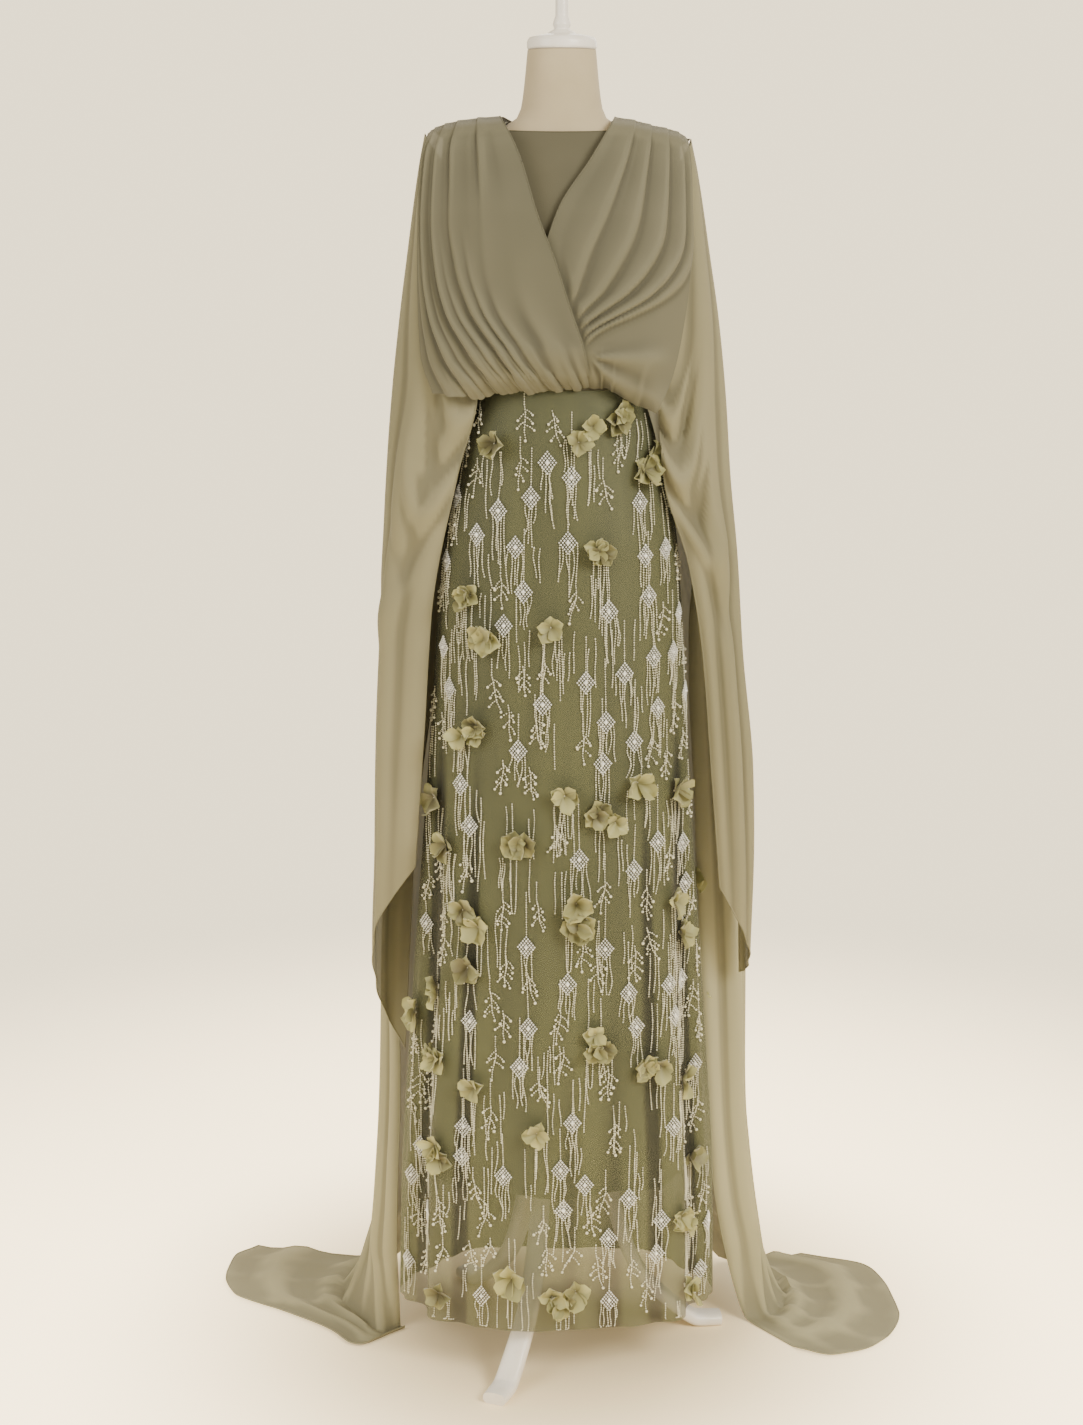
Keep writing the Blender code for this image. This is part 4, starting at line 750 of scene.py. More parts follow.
def hanging_folds(share, down, keys, folds):
    """Height of upright folds at a share of the width and a height down the piece."""
    height = np.zeros(np.broadcast(share, down).shape)
    down = np.broadcast_to(down, height.shape)
    path = np.clip((keys[0] - down) / (keys[0] - keys[-1]), 0.0, 1.0)
    for top, low, width, *heights in folds:
        size = smooth_at(keys, heights, down.ravel()).reshape(down.shape) / 1000
        at = top + (low - top) * path
        height = height + size * np.exp(-((share - at) / width) ** 2)
    return height


def swags(share, down, creases):
    """Height of curved creases that sag between two points, as where cloth is caught up."""
    height = np.zeros(np.broadcast(share, down).shape)
    for at, lowest, curve, reach, width, tall in creases:
        away = share - at
        crease = lowest + curve * away**2
        inside = np.exp(-(away / reach) ** 4)
        height = height + tall / 1000 * inside * np.exp(-((down - crease) / width) ** 2)
    return height


def net_hem(degrees):
    return NET_HEM_Z + NET_HEM_DIP * np.cos(np.radians(degrees))


def half_skirt(middle, rows, columns):
    """Shares of the way down and angles round one half of the skirt, from side seam to side seam."""
    degrees = middle + np.linspace(SEAM_DEGREES - 90, 90 - SEAM_DEGREES, columns)[None, :]
    return np.linspace(0, 1, rows)[:, None], degrees


def net_fold(degrees, height):
    """How far the net's upright folds move it out at an angle and a height."""
    move = np.zeros(np.broadcast(degrees, height).shape)
    for turn, depth, width, start in zip(*NET_FOLDS.values()):
        apart = (degrees - turn + 180.0) % 360.0 - 180.0
        move = move + depth * np.exp(-(apart / width) ** 2) * ease((start - height) / 0.75)
    for turn, width, depth, start in FINE_NET_FOLDS:
        apart = (degrees - turn + 180.0) % 360.0 - 180.0
        move = move + depth / 1000 * np.exp(-(apart / width) ** 2) * ease((start - height) / 0.5)
    return move


def net_point(degrees, height, lift=0.0):
    """A point of the net at an angle round the skirt and a height."""
    share = (WAIST_Z - height) / (WAIST_Z - net_hem(degrees))
    fold = net_fold(degrees, height) - NET_INSET_TOP * (1 - ease((WAIST_Z - height) / 0.08))
    return section_point(SKIRT, height, degrees, fold + lift, SKIRT_CENTRE_X * share)


def wrap_grid(lines, shoulder, hem, layer, folds, gathers, cover=None, draw=None):
    """A crossed blouse front, pleated at the shoulder and gathered at the waist."""
    share, line = (np.linspace(0, 1, count) for count in GRIDS["wrap"])
    by_line = np.stack([read(lines, c, "share", share) for c in lines if c != "share"])
    x = smooth_at(np.linspace(0, 1, len(by_line)), by_line, line).T
    top = read(shoulder, "height", "aside", np.abs(x[0]))
    bottom = read(hem, "bottom", "line", line)
    z = top + (bottom - top) * share[:, None]
    reach = read(BLOUSE, "front", "share", share)[:, None]
    loose = ease((np.abs(x) - LOOSE_FROM["aside"]) / LOOSE_FROM["over"])
    loose = loose * ease((share[:, None] - LOOSE_FROM["share"]) / LOOSE_FROM["share_over"])
    reach = reach + (LOOSE_REACH - reach) * loose
    height = wrap_folds(line[None, :], share[:, None], folds, gathers, draw=draw)
    if draw is not None:
        height = height + tucks(x, z)
    z = z - GATHER_DROP * (height[-1:] - height[-1].mean()) * ease((share[:, None] - 0.9) / 0.1)
    grid = np.stack([x, -blouse_depth(x, reach), z], axis=-1)
    calm = WRAP_CALM["top"] + (1.0 - WRAP_CALM["top"]) * ease(share / WRAP_CALM["top_over"])
    height = height * calm[:, None]
    near_hem = ease((share - 1.0 + WRAP_CALM["hem_over"]) / WRAP_CALM["hem_over"])
    height = height * (1.0 - WRAP_CALM["hem"] * near_hem)[:, None]
    if cover is not None:
        height = height * cover(x, z)
    lift = layer["waist"] + (layer["chest"] - layer["waist"]) * ease((1.0 - share) / 0.15)
    lift = lift * (0.2 + 0.8 * ease(share / 0.1))
    height = height + lift[:, None]
    if x[0, 0] > x[0, -1]:
        grid, height = grid[:, ::-1], height[:, ::-1]
    return grid + grid_normals(grid) * height[..., None]


def over_edge_cover(x, z):
    """How far a point of the under wrap is out from beneath the over wrap's edge, from 0 to 1."""
    top, low = SHOULDER_RIGHT["height"][0], OVER_WRAP_HEM["bottom"][0]
    share = np.clip((top - z) / (top - low), 0.0, 1.0)
    edge = read(OVER_WRAP, "edge", "share", share.ravel()).reshape(share.shape)
    return ease((x - edge - 0.002) / 0.014)


def blouse_depth(x, reach):
    """How far the blouse stands before or behind the shoulder seam at a distance aside."""
    aside = np.clip(np.abs(x) / BLOUSE_HALF_WIDTH, 0.0, 0.999)
    return reach * (1.0 - aside**SECTION_POWER) ** (1.0 / SECTION_POWER)


def blouse_back_point(shoulder, x, share):
    """A point of the blouse's back at a distance aside and a share of the way down."""
    z_top = read(shoulder, "height", "aside", x)
    z = z_top + (BLOUSE_BACK_Z - z_top) * share
    y = blouse_depth(x, read(BLOUSE, "back", "share", share))
    return np.stack(np.broadcast_arrays(x, y, z), axis=-1)


def blouse_back_grid(side, shoulder):
    """One half of the blouse's back, with its folds from the shoulder and into the waist."""
    rows, columns = GRIDS["blouse_back"]
    share = np.linspace(0, 1, rows)[:, None]
    line = np.linspace(0, 1, columns)[None, :]
    outer = read(BLOUSE_BACK, "outer", "share", share)
    inner = read(BLOUSE_BACK, "inner", "share", share) + SEAM_GAP
    grid = blouse_back_point(shoulder, outer + (inner - outer) * line, share)
    height = wrap_folds(line, share, BACK_FOLDS, BACK_GATHERS)
    height = height * (0.25 + 0.75 * ease(share / 0.1)) * ease((1.0 - line) / 0.06)
    grid = grid + grid_normals(grid) * height[..., None]
    return to_side(grid, side)


def plan_section(rows, height, share):
    """A point of a cape's section: two quarter ovals from the front edge to the back edge."""
    columns = ("front_x", "front_y", "side_x", "side_y", "back_x", "back_y")
    fx, fy, sx, sy, bx, by = (read(rows, c, "height", height)[..., None] for c in columns)
    turn = np.linspace(0, np.pi / 2, 41)
    rise, fall = np.sin(turn) ** CAPE_POWER, np.abs(np.cos(turn)) ** CAPE_POWER
    x = np.concatenate([fx + (sx - fx) * rise, bx + (sx - bx) * fall[1:]], axis=-1)
    y = np.concatenate([sy + (fy - sy) * fall, sy + (by - sy) * rise[1:]], axis=-1)
    steps = np.hypot(np.diff(x, axis=-1), np.diff(y, axis=-1))
    run = np.concatenate([np.zeros_like(fx), np.cumsum(steps, axis=-1)], axis=-1)
    run = run / run[..., -1:]
    result = np.empty(np.shape(height) + (2,))
    for index in np.ndindex(np.shape(height)):
        result[index + (0,)] = np.interp(share[index], run[index], x[index])
        result[index + (1,)] = np.interp(share[index], run[index], y[index])
    return result


def hanging_sheet(rows, top, bottom, row_count, column_count):
    """A hanging sheet: its height runs from a top line to a bottom line across its width."""
    share = np.linspace(0, 1, column_count)
    fall = np.linspace(0, 1, row_count)[:, None]
    height = top(share)[None, :] + (bottom(share) - top(share))[None, :] * fall
    across = np.broadcast_to(share, height.shape)
    return np.concatenate([plan_section(rows, height, across), height[..., None]], axis=-1)


def cape_grid(rows, side, hem, folds, creases):
    """A cape sleeve: from the end of the shoulder seam to a hem that slants down to the back."""
    peak, foot = rows["height"][0], rows["height"][1]

    def top(share):
        return foot + (peak - foot) * np.abs(np.sin(np.pi * share)) ** CAPE_TOP_POWER

    def bottom(share):
        return read(hem, "height", "share", share)

    grid = hanging_sheet(rows, top, bottom, *GRIDS["cape"])
    share = np.broadcast_to(np.linspace(0, 1, grid.shape[1]), grid.shape[:2])
    height = hanging_folds(share, grid[..., 2], CAPE_KEYS, folds)
    above_hem = (grid[..., 2] - bottom(share)) / HEM_CALM["over"]
    height = height * (HEM_CALM["least"] + (1.0 - HEM_CALM["least"]) * ease(above_hem))
    height = height + swags(share, grid[..., 2], creases)
    height = height * ease((top(share) - grid[..., 2] + 0.012) / 0.05)
    grid = grid + level_normals(grid) * height[..., None]
    return to_side(grid, side)


def refine(grid, rows, columns):
    """A finer grid through the points of a coarse one, evenly spaced along its middle column."""
    middle = grid[:, grid.shape[1] // 2, :3]
    run = np.concatenate([[0.0], np.cumsum(np.linalg.norm(np.diff(middle, axis=0), axis=-1))])
    depth = grid.shape[2]
    flat = smooth_at(run, grid.reshape(len(grid), -1), np.linspace(0, run[-1], rows))
    flat = flat.reshape(rows, -1, depth).transpose(1, 0, 2).reshape(grid.shape[1], -1)
    fine = smooth_at(np.linspace(0, 1, grid.shape[1]), flat, np.linspace(0, 1, columns))
    return fine.reshape(columns, rows, depth).transpose(1, 0, 2)


def train_grid(rows, floor, shoulder, side, folds):
    """A back panel: from the shoulder seam to the floor, where it spreads into a train."""
    coarse = TRAIN_COARSE["columns"]
    share = np.linspace(0, 1, coarse)
    base = rows["height"][-1]
    yoke_x = TRAIN_YOKE["outer"] + (TRAIN_YOKE["inner"] - TRAIN_YOKE["outer"]) * share[None, :]
    yoke = blouse_back_point(shoulder, yoke_x, TRAIN_TOP["share"][:, None])
    yoke = yoke + grid_normals(yoke) * TRAIN_TOP["lift"][:, None, None]
    hang = hanging_sheet(rows, lambda s: np.full_like(s, rows["height"][0]),
                         lambda s: np.full_like(s, base), TRAIN_COARSE["rows"], coarse)
    land, hem = (np.stack([read(floor, c, "share", share) for c in pair], axis=-1)
                 for pair in (("land_x", "land_y"), ("hem_x", "hem_y")))
    toward = land + (hem - land) * LANDING_REACH
    level = hang[-1]
    layers = [np.concatenate([part, part[..., 2:]], axis=-1) for part in (*yoke[:, None], *hang[:, None])]
    for step in LANDING_STEPS:
        plan = (1 - step) ** 2 * level[:, :2] + 2 * step * (1 - step) * land + step**2 * toward
        height = np.full(coarse, CLOTH_WALL + (base - CLOTH_WALL) * (1 - step) ** 2)
        layers.append(np.column_stack([plan, height, height])[None])
    for step in FLOOR_STEPS:
        plan = land + (hem - land) * step
        layers.append(np.column_stack([plan, np.full(coarse, CLOTH_WALL), np.full(coarse, -step)])[None])
    grid = refine(np.concatenate(layers), *GRIDS["train"])
    down, grid = grid[..., 3], grid[..., :3]
    spread = np.broadcast_to(np.linspace(0, 1, down.shape[1]), down.shape)
    height = hanging_folds(spread, down, TRAIN_KEYS, folds)
    height = height * ease((TRAIN_KEYS[0] + 0.02 - down) / 0.25)
    on_floor = ease(-down / 0.05)
    edge = 0.004 * on_floor * ease((-0.86 - down) / 0.14)
    for out, slant, wide, tall in FLOOR_RIDGES:
        line = out + slant * (spread - 0.5)
        edge = edge + tall * np.exp(-((down - line) / wide) ** 2) * ease((spread - 0.06) / 0.3)
    normals = grid_normals(grid)
    grid = grid + normals * np.where(height > 0, height, height * (1 - on_floor))[..., None]
    grid[..., 2] = grid[..., 2] + edge
    return to_side(grid, side)


class SkirtMap:
    """Finds points of the net's front or back from a distance round it and a height."""

    def __init__(self, middle):
        self.levels = np.linspace(NET_HEM_Z - NET_HEM_DIP, WAIST_Z, SKIRT_LEVELS)
        self.turns = middle + np.linspace(-90, 90, 2 * SKIRT_MIDDLE + 1)
        rows = net_point(self.turns[None, :], self.levels[:, None])
        steps = np.linalg.norm(np.diff(rows, axis=1), axis=-1)
        run = np.concatenate([np.zeros((len(rows), 1)), np.cumsum(steps, axis=1)], axis=1)
        self.run = run - run[:, SKIRT_MIDDLE:SKIRT_MIDDLE + 1]

    def limit(self, height, degrees=80.0):
        """How far the net reaches from its middle to an angle, at a height."""
        column = int(SKIRT_MIDDLE + degrees / 90 * SKIRT_MIDDLE)
        return np.interp(height, self.levels, self.run[:, column])

    def points(self, aside, height, lift):
        """Points at distances aside of the middle and at heights, lifted off the net."""
        step = (height - self.levels[0]) / (self.levels[1] - self.levels[0])
        row = np.clip(step.astype(int), 0, len(self.levels) - 2)
        t = np.clip(step - row, 0.0, 1.0)
        turns = np.array([(1 - w) * np.interp(s, self.run[k], self.turns)
                          + w * np.interp(s, self.run[k + 1], self.turns)
                          for s, k, w in zip(aside, row, t)])
        return net_point(turns, height, lift)


def far_enough(spot, kind, taken, reach):
    """Whether a motif's place is clear of those already laid out."""
    return all(((spot[0] - x) / (reach[kind] + reach[other])) ** 2
               + ((spot[1] - z) / (MOTIF_TALL * (reach[kind] + reach[other]))) ** 2 > 1.0
               for other, x, z in taken)


def lay_out_motifs(skirt, random, wanted, reach):
    """Places for each kind of motif, the largest first, none nearer than its reach allows."""
    taken = []
    for kind, count in wanted:
        placed = 0
        for _ in range(count * MOTIF_TRIES):
            height = MOTIF_LOW + (MOTIF_HIGH - MOTIF_LOW) * random.random() ** MOTIF_LOWER
            aside = (2 * random.random() - 1) * skirt.limit(height)
            if far_enough((aside, height), kind, taken, reach):
                taken.append((kind, aside, height))
                placed += 1
                if placed == count:
                    break
    return taken


class Strings:
    """Bead strings as lines of points, each with its distance aside, height and lift."""

    def __init__(self):
        self.lines = []

    def add(self, aside, height, lift):
        aside = np.asarray(aside, float)
        height = np.maximum(np.asarray(height, float), STRING_LOW)
        self.lines.append((aside, height, np.broadcast_to(np.asarray(lift, float), aside.shape)))

    def hang(self, random, aside, height, length, sway=0.003):
        """A string hanging down from a point, a little aslant."""
        t = np.linspace(0, 1, 7)
        drift, bow, curl = random.normal(0, sway), random.normal(0, sway * 0.5), random.normal(0, sway * 0.4)
        self.add(aside + drift * t**2 + bow * np.sin(np.pi * t) + curl * np.sin(math.tau * t),
                 height - length * t, STRING_LIFT + 0.001 * np.sin(np.pi * t))

    def loop(self, aside, height, width, length):
        """A string that hangs in a long U between two points."""
        t = np.linspace(-1, 1, 11)
        self.add(aside + width / 2 * rounded(t, 0.6), height - length * (1 - np.abs(t) ** 3) ** 0.7,
                 STRING_LIFT + 0.0008)

    def mesh_on(self, skirt, name):
        """All the strings as one mesh of edges on the net."""
        aside, height, lift = (np.concatenate(parts) for parts in zip(*self.lines))
        points = skirt.points(aside, height, lift) + ON_AXIS
        edges, start = [], 0
        for line in self.lines:
            edges += [(start + i, start + i + 1) for i in range(len(line[0]) - 1)]
            start += len(line[0])
        mesh = bpy.data.meshes.new(name)
        mesh.from_pydata(points.tolist(), edges, [])
        return add_object(name, mesh)


def node(tree, kind, inputs=None, feeds=None, **settings):
    """Add a node with its settings, its values and the links into and out of it."""
    made = tree.nodes.new(kind)
    for name, value in settings.items():
        setattr(made, name, value)
    for name, value in (inputs or {}).items():
        if isinstance(value, bpy.types.NodeSocket):
            tree.links.new(value, made.inputs[name])
        else:
            made.inputs[name].default_value = value
    for name, socket in (feeds or {}).items():
        tree.links.new(made.outputs[name], socket)
    return made


def bead_tree(name, on_lines):
    """Geometry Nodes that thread beads along lines, or set one bead on each point."""
    tree = bpy.data.node_groups.new(name, "GeometryNodeTree")
    face = tree.interface
    face.new_socket("Geometry", in_out="INPUT", socket_type="NodeSocketGeometry")
    for label, kind in (("Bead radius", "NodeSocketFloat"), ("Bead length", "NodeSocketFloat"),
                        ("Pitch", "NodeSocketFloat"), ("Sides", "NodeSocketInt"),
                        ("Rings", "NodeSocketInt"), ("Seed", "NodeSocketInt"),
                        ("Material", "NodeSocketMaterial")):
        face.new_socket(label, in_out="INPUT", socket_type=kind)
    face.new_socket("Geometry", in_out="OUTPUT", socket_type="NodeSocketGeometry")
    given = node(tree, "NodeGroupInput").outputs
    bead = node(tree, "GeometryNodeMeshUVSphere",
                {"Segments": given["Sides"], "Rings": given["Rings"], "Radius": given["Bead radius"]})
    stretch = node(tree, "ShaderNodeCombineXYZ", {"X": 1.0, "Y": 1.0, "Z": given["Bead length"]})
    long_bead = node(tree, "GeometryNodeTransform",
                     {"Geometry": bead.outputs["Mesh"], "Scale": stretch.outputs["Vector"]})
    size = node(tree, "FunctionNodeRandomValue", {"Seed": given["Seed"], 2: BEAD_SIZES[0], 3: BEAD_SIZES[1]},
                data_type="FLOAT")
    if on_lines:
        curve = node(tree, "GeometryNodeMeshToCurve", {"Mesh": given["Geometry"]})
        threaded = node(tree, "GeometryNodeResampleCurve",
                        {"Curve": curve.outputs["Curve"], "Length": given["Pitch"]}, mode="LENGTH")
        tangent = node(tree, "GeometryNodeInputTangent")
        turn = node(tree, "FunctionNodeAlignRotationToVector",
                    {"Vector": tangent.outputs["Tangent"]}, axis="Z")
        set_beads = node(tree, "GeometryNodeInstanceOnPoints",
                         {"Points": threaded.outputs["Curve"], "Instance": long_bead.outputs["Geometry"],
                          "Rotation": turn.outputs["Rotation"], "Scale": size.outputs[1]})
    else:
        wide = node(tree, "GeometryNodeInputNamedAttribute", {"Name": "size"}, data_type="FLOAT")
        scale = node(tree, "ShaderNodeMath", {0: wide.outputs["Attribute"], 1: size.outputs[1]},
                     operation="MULTIPLY")
        set_beads = node(tree, "GeometryNodeInstanceOnPoints",
                         {"Points": given["Geometry"], "Instance": long_bead.outputs["Geometry"],
                          "Scale": scale.outputs["Value"]})
    real = node(tree, "GeometryNodeRealizeInstances", {"Geometry": set_beads.outputs["Instances"]})
    finished = node(tree, "GeometryNodeSetMaterial",
                    {"Geometry": real.outputs["Geometry"], "Material": given["Material"]})
    node(tree, "NodeGroupOutput", {"Geometry": finished.outputs["Geometry"]})
    return tree


def thread_beads(piece, tree, values):
    """Run the bead tree on a piece and keep its result as a plain mesh."""
    modifier = piece.modifiers.new("beads", "NODES")
    modifier.node_group = tree
    for item in tree.interface.items_tree:
        if item.in_out == "INPUT" and item.name in values:
            modifier[item.identifier] = values[item.name]
    depsgraph = bpy.context.evaluated_depsgraph_get()
    depsgraph.update()
    mesh = bpy.data.meshes.new_from_object(piece.evaluated_get(depsgraph))
    piece.modifiers.clear()
    old = piece.data
    piece.data = mesh
    bpy.data.meshes.remove(old)
    mesh.shade_smooth()
    if not mesh.polygons:
        raise RuntimeError(piece.name + " has no beads")
    mesh.materials.clear()
    mesh.materials.append(values["Material"])
    mesh.polygons.foreach_set("material_index", np.zeros(len(mesh.polygons), dtype=np.int32))
    return piece


def points_piece(name, points, sizes):
    """Loose points, each with the size of its bead."""
    mesh = bpy.data.meshes.new(name)
    mesh.from_pydata((points + ON_AXIS).tolist(), [], [])
    mesh.attributes.new("size", "FLOAT", "POINT").data.foreach_set("value", np.asarray(sizes, np.float32))
    return add_object(name, mesh)


def add_lozenge(spot, random, strings, stones):
    """A lozenge of small stones about one large one, with a bead line above and strings below."""
    _, aside, height = spot
    half_wide, half_tall, last = LOZENGE["half_wide"], LOZENGE["half_tall"], LOZENGE["rows"] - 1
    for p in range(last + 1):
        for q in range(last + 1):
            stones.append((aside + (p - q) / last * half_wide, height - (p + q - last) / last * half_tall, 1.0))
    stones.append((aside, height, LOZENGE["middle"]))
    if random.random() < 0.7:
        top = random.uniform(0.035, 0.075)
        strings.add([aside, aside + random.normal(0, 0.001)],
                    [height + half_tall, height + half_tall + top], STRING_LIFT)
    count = random.integers(4, 7)
    for i in range(count):
        x = (i - (count - 1) / 2) * random.uniform(0.004, 0.0052)
        start = height - half_tall + abs(x) * half_tall / half_wide * 0.8
        strings.hang(random, aside + x, start, random.uniform(0.024, 0.066), 0.0024)


def add_sprig(spot, random, strings, tips):
    """A coral-like sprig: a bent stem with short branches that end in round beads."""
    _, aside, height = spot
    length = random.uniform(0.038, 0.052)
    lean = random.normal(0, 0.008)
    t = np.linspace(0, 1, 5)
    stem_x = aside + lean * t**1.6 + 0.0015 * np.sin(6 * t)
    stem_z = height + length / 2 - length * t
    strings.add(stem_x, stem_z, STRING_LIFT)
    if random.random() < 0.5:
        strings.add([aside, aside], [height + length / 2, height + length / 2 + random.uniform(0.01, 0.04)],
                    STRING_LIFT)
    tips.append((stem_x[-1], stem_z[-1] - 0.001, 1.0))
    side = 1 if random.random() < 0.5 else -1
    for k in range(random.integers(5, 8)):
        start = 0.12 + 0.78 * (k + random.uniform(-0.2, 0.2)) / 7
        reach = random.uniform(0.009, 0.0155)
        slope = math.radians(random.uniform(28, 62))
        x0, z0 = np.interp(start, t, stem_x), np.interp(start, t, stem_z)
        x1, z1 = x0 + side * reach * math.sin(slope), z0 - reach * math.cos(slope)
        strings.add([x0, (x0 + x1) / 2 + side * 0.0006, x1], [z0, (z0 + z1) / 2 + 0.0008, z1], STRING_LIFT)
        tips.append((x1, z1, random.uniform(0.8, 1.1)))
        side = -side


def add_lines(spot, random, strings):
    """One to three plain upright lines of beads."""
    _, aside, height = spot
    for k in range(random.integers(1, 4)):
        x = aside + (k - 1) * random.uniform(0.005, 0.009)
        strings.hang(random, x, height + random.uniform(0.0, 0.03), random.uniform(0.03, 0.08), 0.0018)


def petal(frame_here, turn, reach, rise, random):
    """Points of one cupped petal, five across by five along, on a blossom's own axes."""
    centre, across, down, out = frame_here
    u, v = np.meshgrid(np.linspace(-1, 1, PETAL_POINTS), np.linspace(0, 1, PETAL_POINTS))
    width = reach * random.uniform(0.42, 0.56) * PETAL_WIDTHS
    along = reach * (v - 0.1 * u**2 * v)
    curl = random.uniform(-0.25, 0.55)
    cup = reach * random.uniform(0.1, 0.42) * u**2 * (0.3 + 0.7 * np.sin(np.pi * v * 0.8))
    twist = reach * random.uniform(-0.22, 0.22) * u * v
    up = rise * (v**0.8 - curl * v**3) + cup + twist + reach * 0.07 * np.sin(4.2 * u + random.uniform(0, 6)) * v
    side = u * width
    a, b = math.cos(turn), math.sin(turn)
    return (centre + (a * along - b * side)[..., None] * down + (b * along + a * side)[..., None] * across
            + up[..., None] * out)


def add_blossom(stock, skirt, aside, height, size, random):
    """A blossom of five cupped petals of net and organza, with a pinched middle."""
    near = skirt.points(np.array([aside, aside + 0.004, aside]), np.array([height, height, height - 0.004]),
                        0.0012)
    across, down = unit(near[1] - near[0]), unit(near[2] - near[0])
    out = unit(np.cross(down, across))
    here = (near[0] + out * 0.0015, across, down, out)
    first = random.uniform(0, math.tau)
    tone = random.uniform(0.25, 0.75)
    for k in range(5):
        turn = first + k * math.tau / 5 + random.normal(0, 0.24)
        longer = 1.0 + 0.16 * math.cos(turn)
        rise = size * random.uniform(0.15, 0.85)
        points = petal(here, turn, size * longer * random.uniform(0.88, 1.1), rise, random)
        normals = grid_normals(points)
        if (normals[2, 2] * out).sum() < 0:
            points = points[:, ::-1]
            normals = grid_normals(points)
        # Each blossom and petal differs in tone at random, and painted shade darkens each petal toward the pinched
        # middle
        shade = tone + random.normal(0, 0.12) + np.linspace(*PETAL_SHADES, PETAL_POINTS)[:, None]
        shade = np.clip(np.broadcast_to(shade, points.shape[:2]), 0, 1).ravel()
        sides = [(points + normals * lift).reshape(-1, 3) for lift in (PETAL_WALL, -PETAL_WALL)]
        stock.add(np.concatenate(sides), wall_faces(PETAL_POINTS, PETAL_POINTS), shade=np.tile(shade, 2))


def add_flower(spot, random, skirt, petals, strings, tips):
    """One blossom or a cluster of two or three, with strings hanging from below it."""
    _, aside, height = spot
    count = random.choice([1, 1, 1, 2, 2, 3])
    size = random.uniform(0.02, 0.027) * (1.0 if count == 1 else 0.88)
    for k in range(count):
        turn = random.uniform(0, math.tau)
        away = 0.0 if count == 1 else size * 0.85
        x = aside + away * math.cos(turn + k * math.tau / count)
        z = np.clip(height + 0.8 * away * math.sin(turn + k * math.tau / count), MOTIF_LOW, WAIST_Z - 0.03)
        add_blossom(petals, skirt, x, z, size, random)
        for _ in range(4):
            tips.append((x + random.normal(0, 0.0018), z + random.normal(0, 0.0018), 0.7))
    spread = size * (0.9 if count == 1 else 1.3)
    for _ in range(random.integers(3, 7)):
        x = aside + random.uniform(-spread, spread)
        strings.hang(random, x, height - size * 0.5, random.uniform(0.035, 0.09), 0.003)
    if random.random() < 0.35:
        strings.loop(aside + random.uniform(-0.5, 0.5) * spread, height - size * 0.6,
                     random.uniform(0.006, 0.01), random.uniform(0.045, 0.075))


def turned(name, profile, material, segments, rounds=2):
    """A turned piece: its profile with the corners eased, spun about the stand's axis."""
    line = np.stack([profile["radius"], profile["height"]], axis=1)
    for _ in range(rounds):
        near = line[:-1] + (line[1:] - line[:-1]) * 0.12
        far = line[:-1] + (line[1:] - line[:-1]) * 0.88
        line = np.concatenate([line[:1], np.stack([near, far], axis=1).reshape(-1, 2), line[-1:]])
    inner = line[(line[:, 0] > 1e-6)]
    inner = inner[::-1] if inner[0, 1] < inner[-1, 1] else inner
    turn = np.linspace(0, math.tau, segments, endpoint=False)
    rings = np.stack([inner[:, :1] * np.cos(turn)[None], inner[:, :1] * np.sin(turn)[None],
                      np.broadcast_to(inner[:, 1:], (len(inner), segments))], axis=-1)
    return closed_rings(name, rings, material)


def closed_rings(name, rings, material, sharp=50.0):
    """A closed solid through rings of points that run down, fanned shut at both ends."""
    rows, columns = rings.shape[:2]
    j = np.arange(columns)
    k = (j + 1) % columns
    size = rows * columns
    top = np.stack([np.full(columns, size), j, k], axis=-1)
    low = np.stack([np.full(columns, size + 1), (rows - 1) * columns + k, (rows - 1) * columns + j], axis=-1)
    points = np.concatenate([rings.reshape(-1, 3), rings[0].mean(axis=0)[None], rings[-1].mean(axis=0)[None]])
    stock = Stock()
    stock.add(points, grid_faces(rows, columns, True).tolist() + top.tolist() + low.tolist())
    return stock.make(name, material, sharp)


def leg_rings(turn):
    """The rings of a curved leg with a rounded section and a flat foot."""
    out = np.array([math.sin(math.radians(turn)), -math.cos(math.radians(turn)), 0.0])
    side = np.array([-out[1], out[0], 0.0])
    share = np.linspace(0, 1, LEG_RINGS)
    key = np.linspace(0, 1, len(LEG["reach"]))
    reach, height, width, thick = (smooth_at(key, LEG[c], share)
                                   for c in ("reach", "height", "width", "thickness"))
    path = reach[:, None] * out + height[:, None] * np.array([0.0, 0.0, 1.0])
    along = unit(np.gradient(path, axis=0))
    along[0] = out
    up = np.cross(side, along)
    angles = np.radians(np.arange(0, 360, 15) + 7.5)
    across = rounded(np.cos(angles), LEG_ROUNDING)[None, :] * width[:, None] / 2
    rise = rounded(np.sin(angles), LEG_ROUNDING)[None, :] * thick[:, None] / 2
    rings = path[:, None] + across[..., None] * side + rise[..., None] * up[:, None]
    rings[..., 2] = np.maximum(rings[..., 2], 0.0)
    return rings


def plain_material(name, colour, roughness, metallic=0.0, alpha=1.0, sheen=0.0, coat=0.0):
    """A new material with one Principled shader and its constant values."""
    material = bpy.data.materials.new(name)
    material.use_nodes = True
    shader = material.node_tree.nodes["Principled BSDF"]
    shader.inputs["Base Color"].default_value = (*colour, 1.0)
    shader.inputs["Roughness"].default_value = roughness
    shader.inputs["Metallic"].default_value = metallic
    shader.inputs["Alpha"].default_value = alpha
    shader.inputs["Sheen Weight"].default_value = sheen
    shader.inputs["Sheen Roughness"].default_value = 0.5
    shader.inputs["Coat Weight"].default_value = coat
    material.diffuse_color = (*colour, 1.0)
    return material, material.node_tree, shader


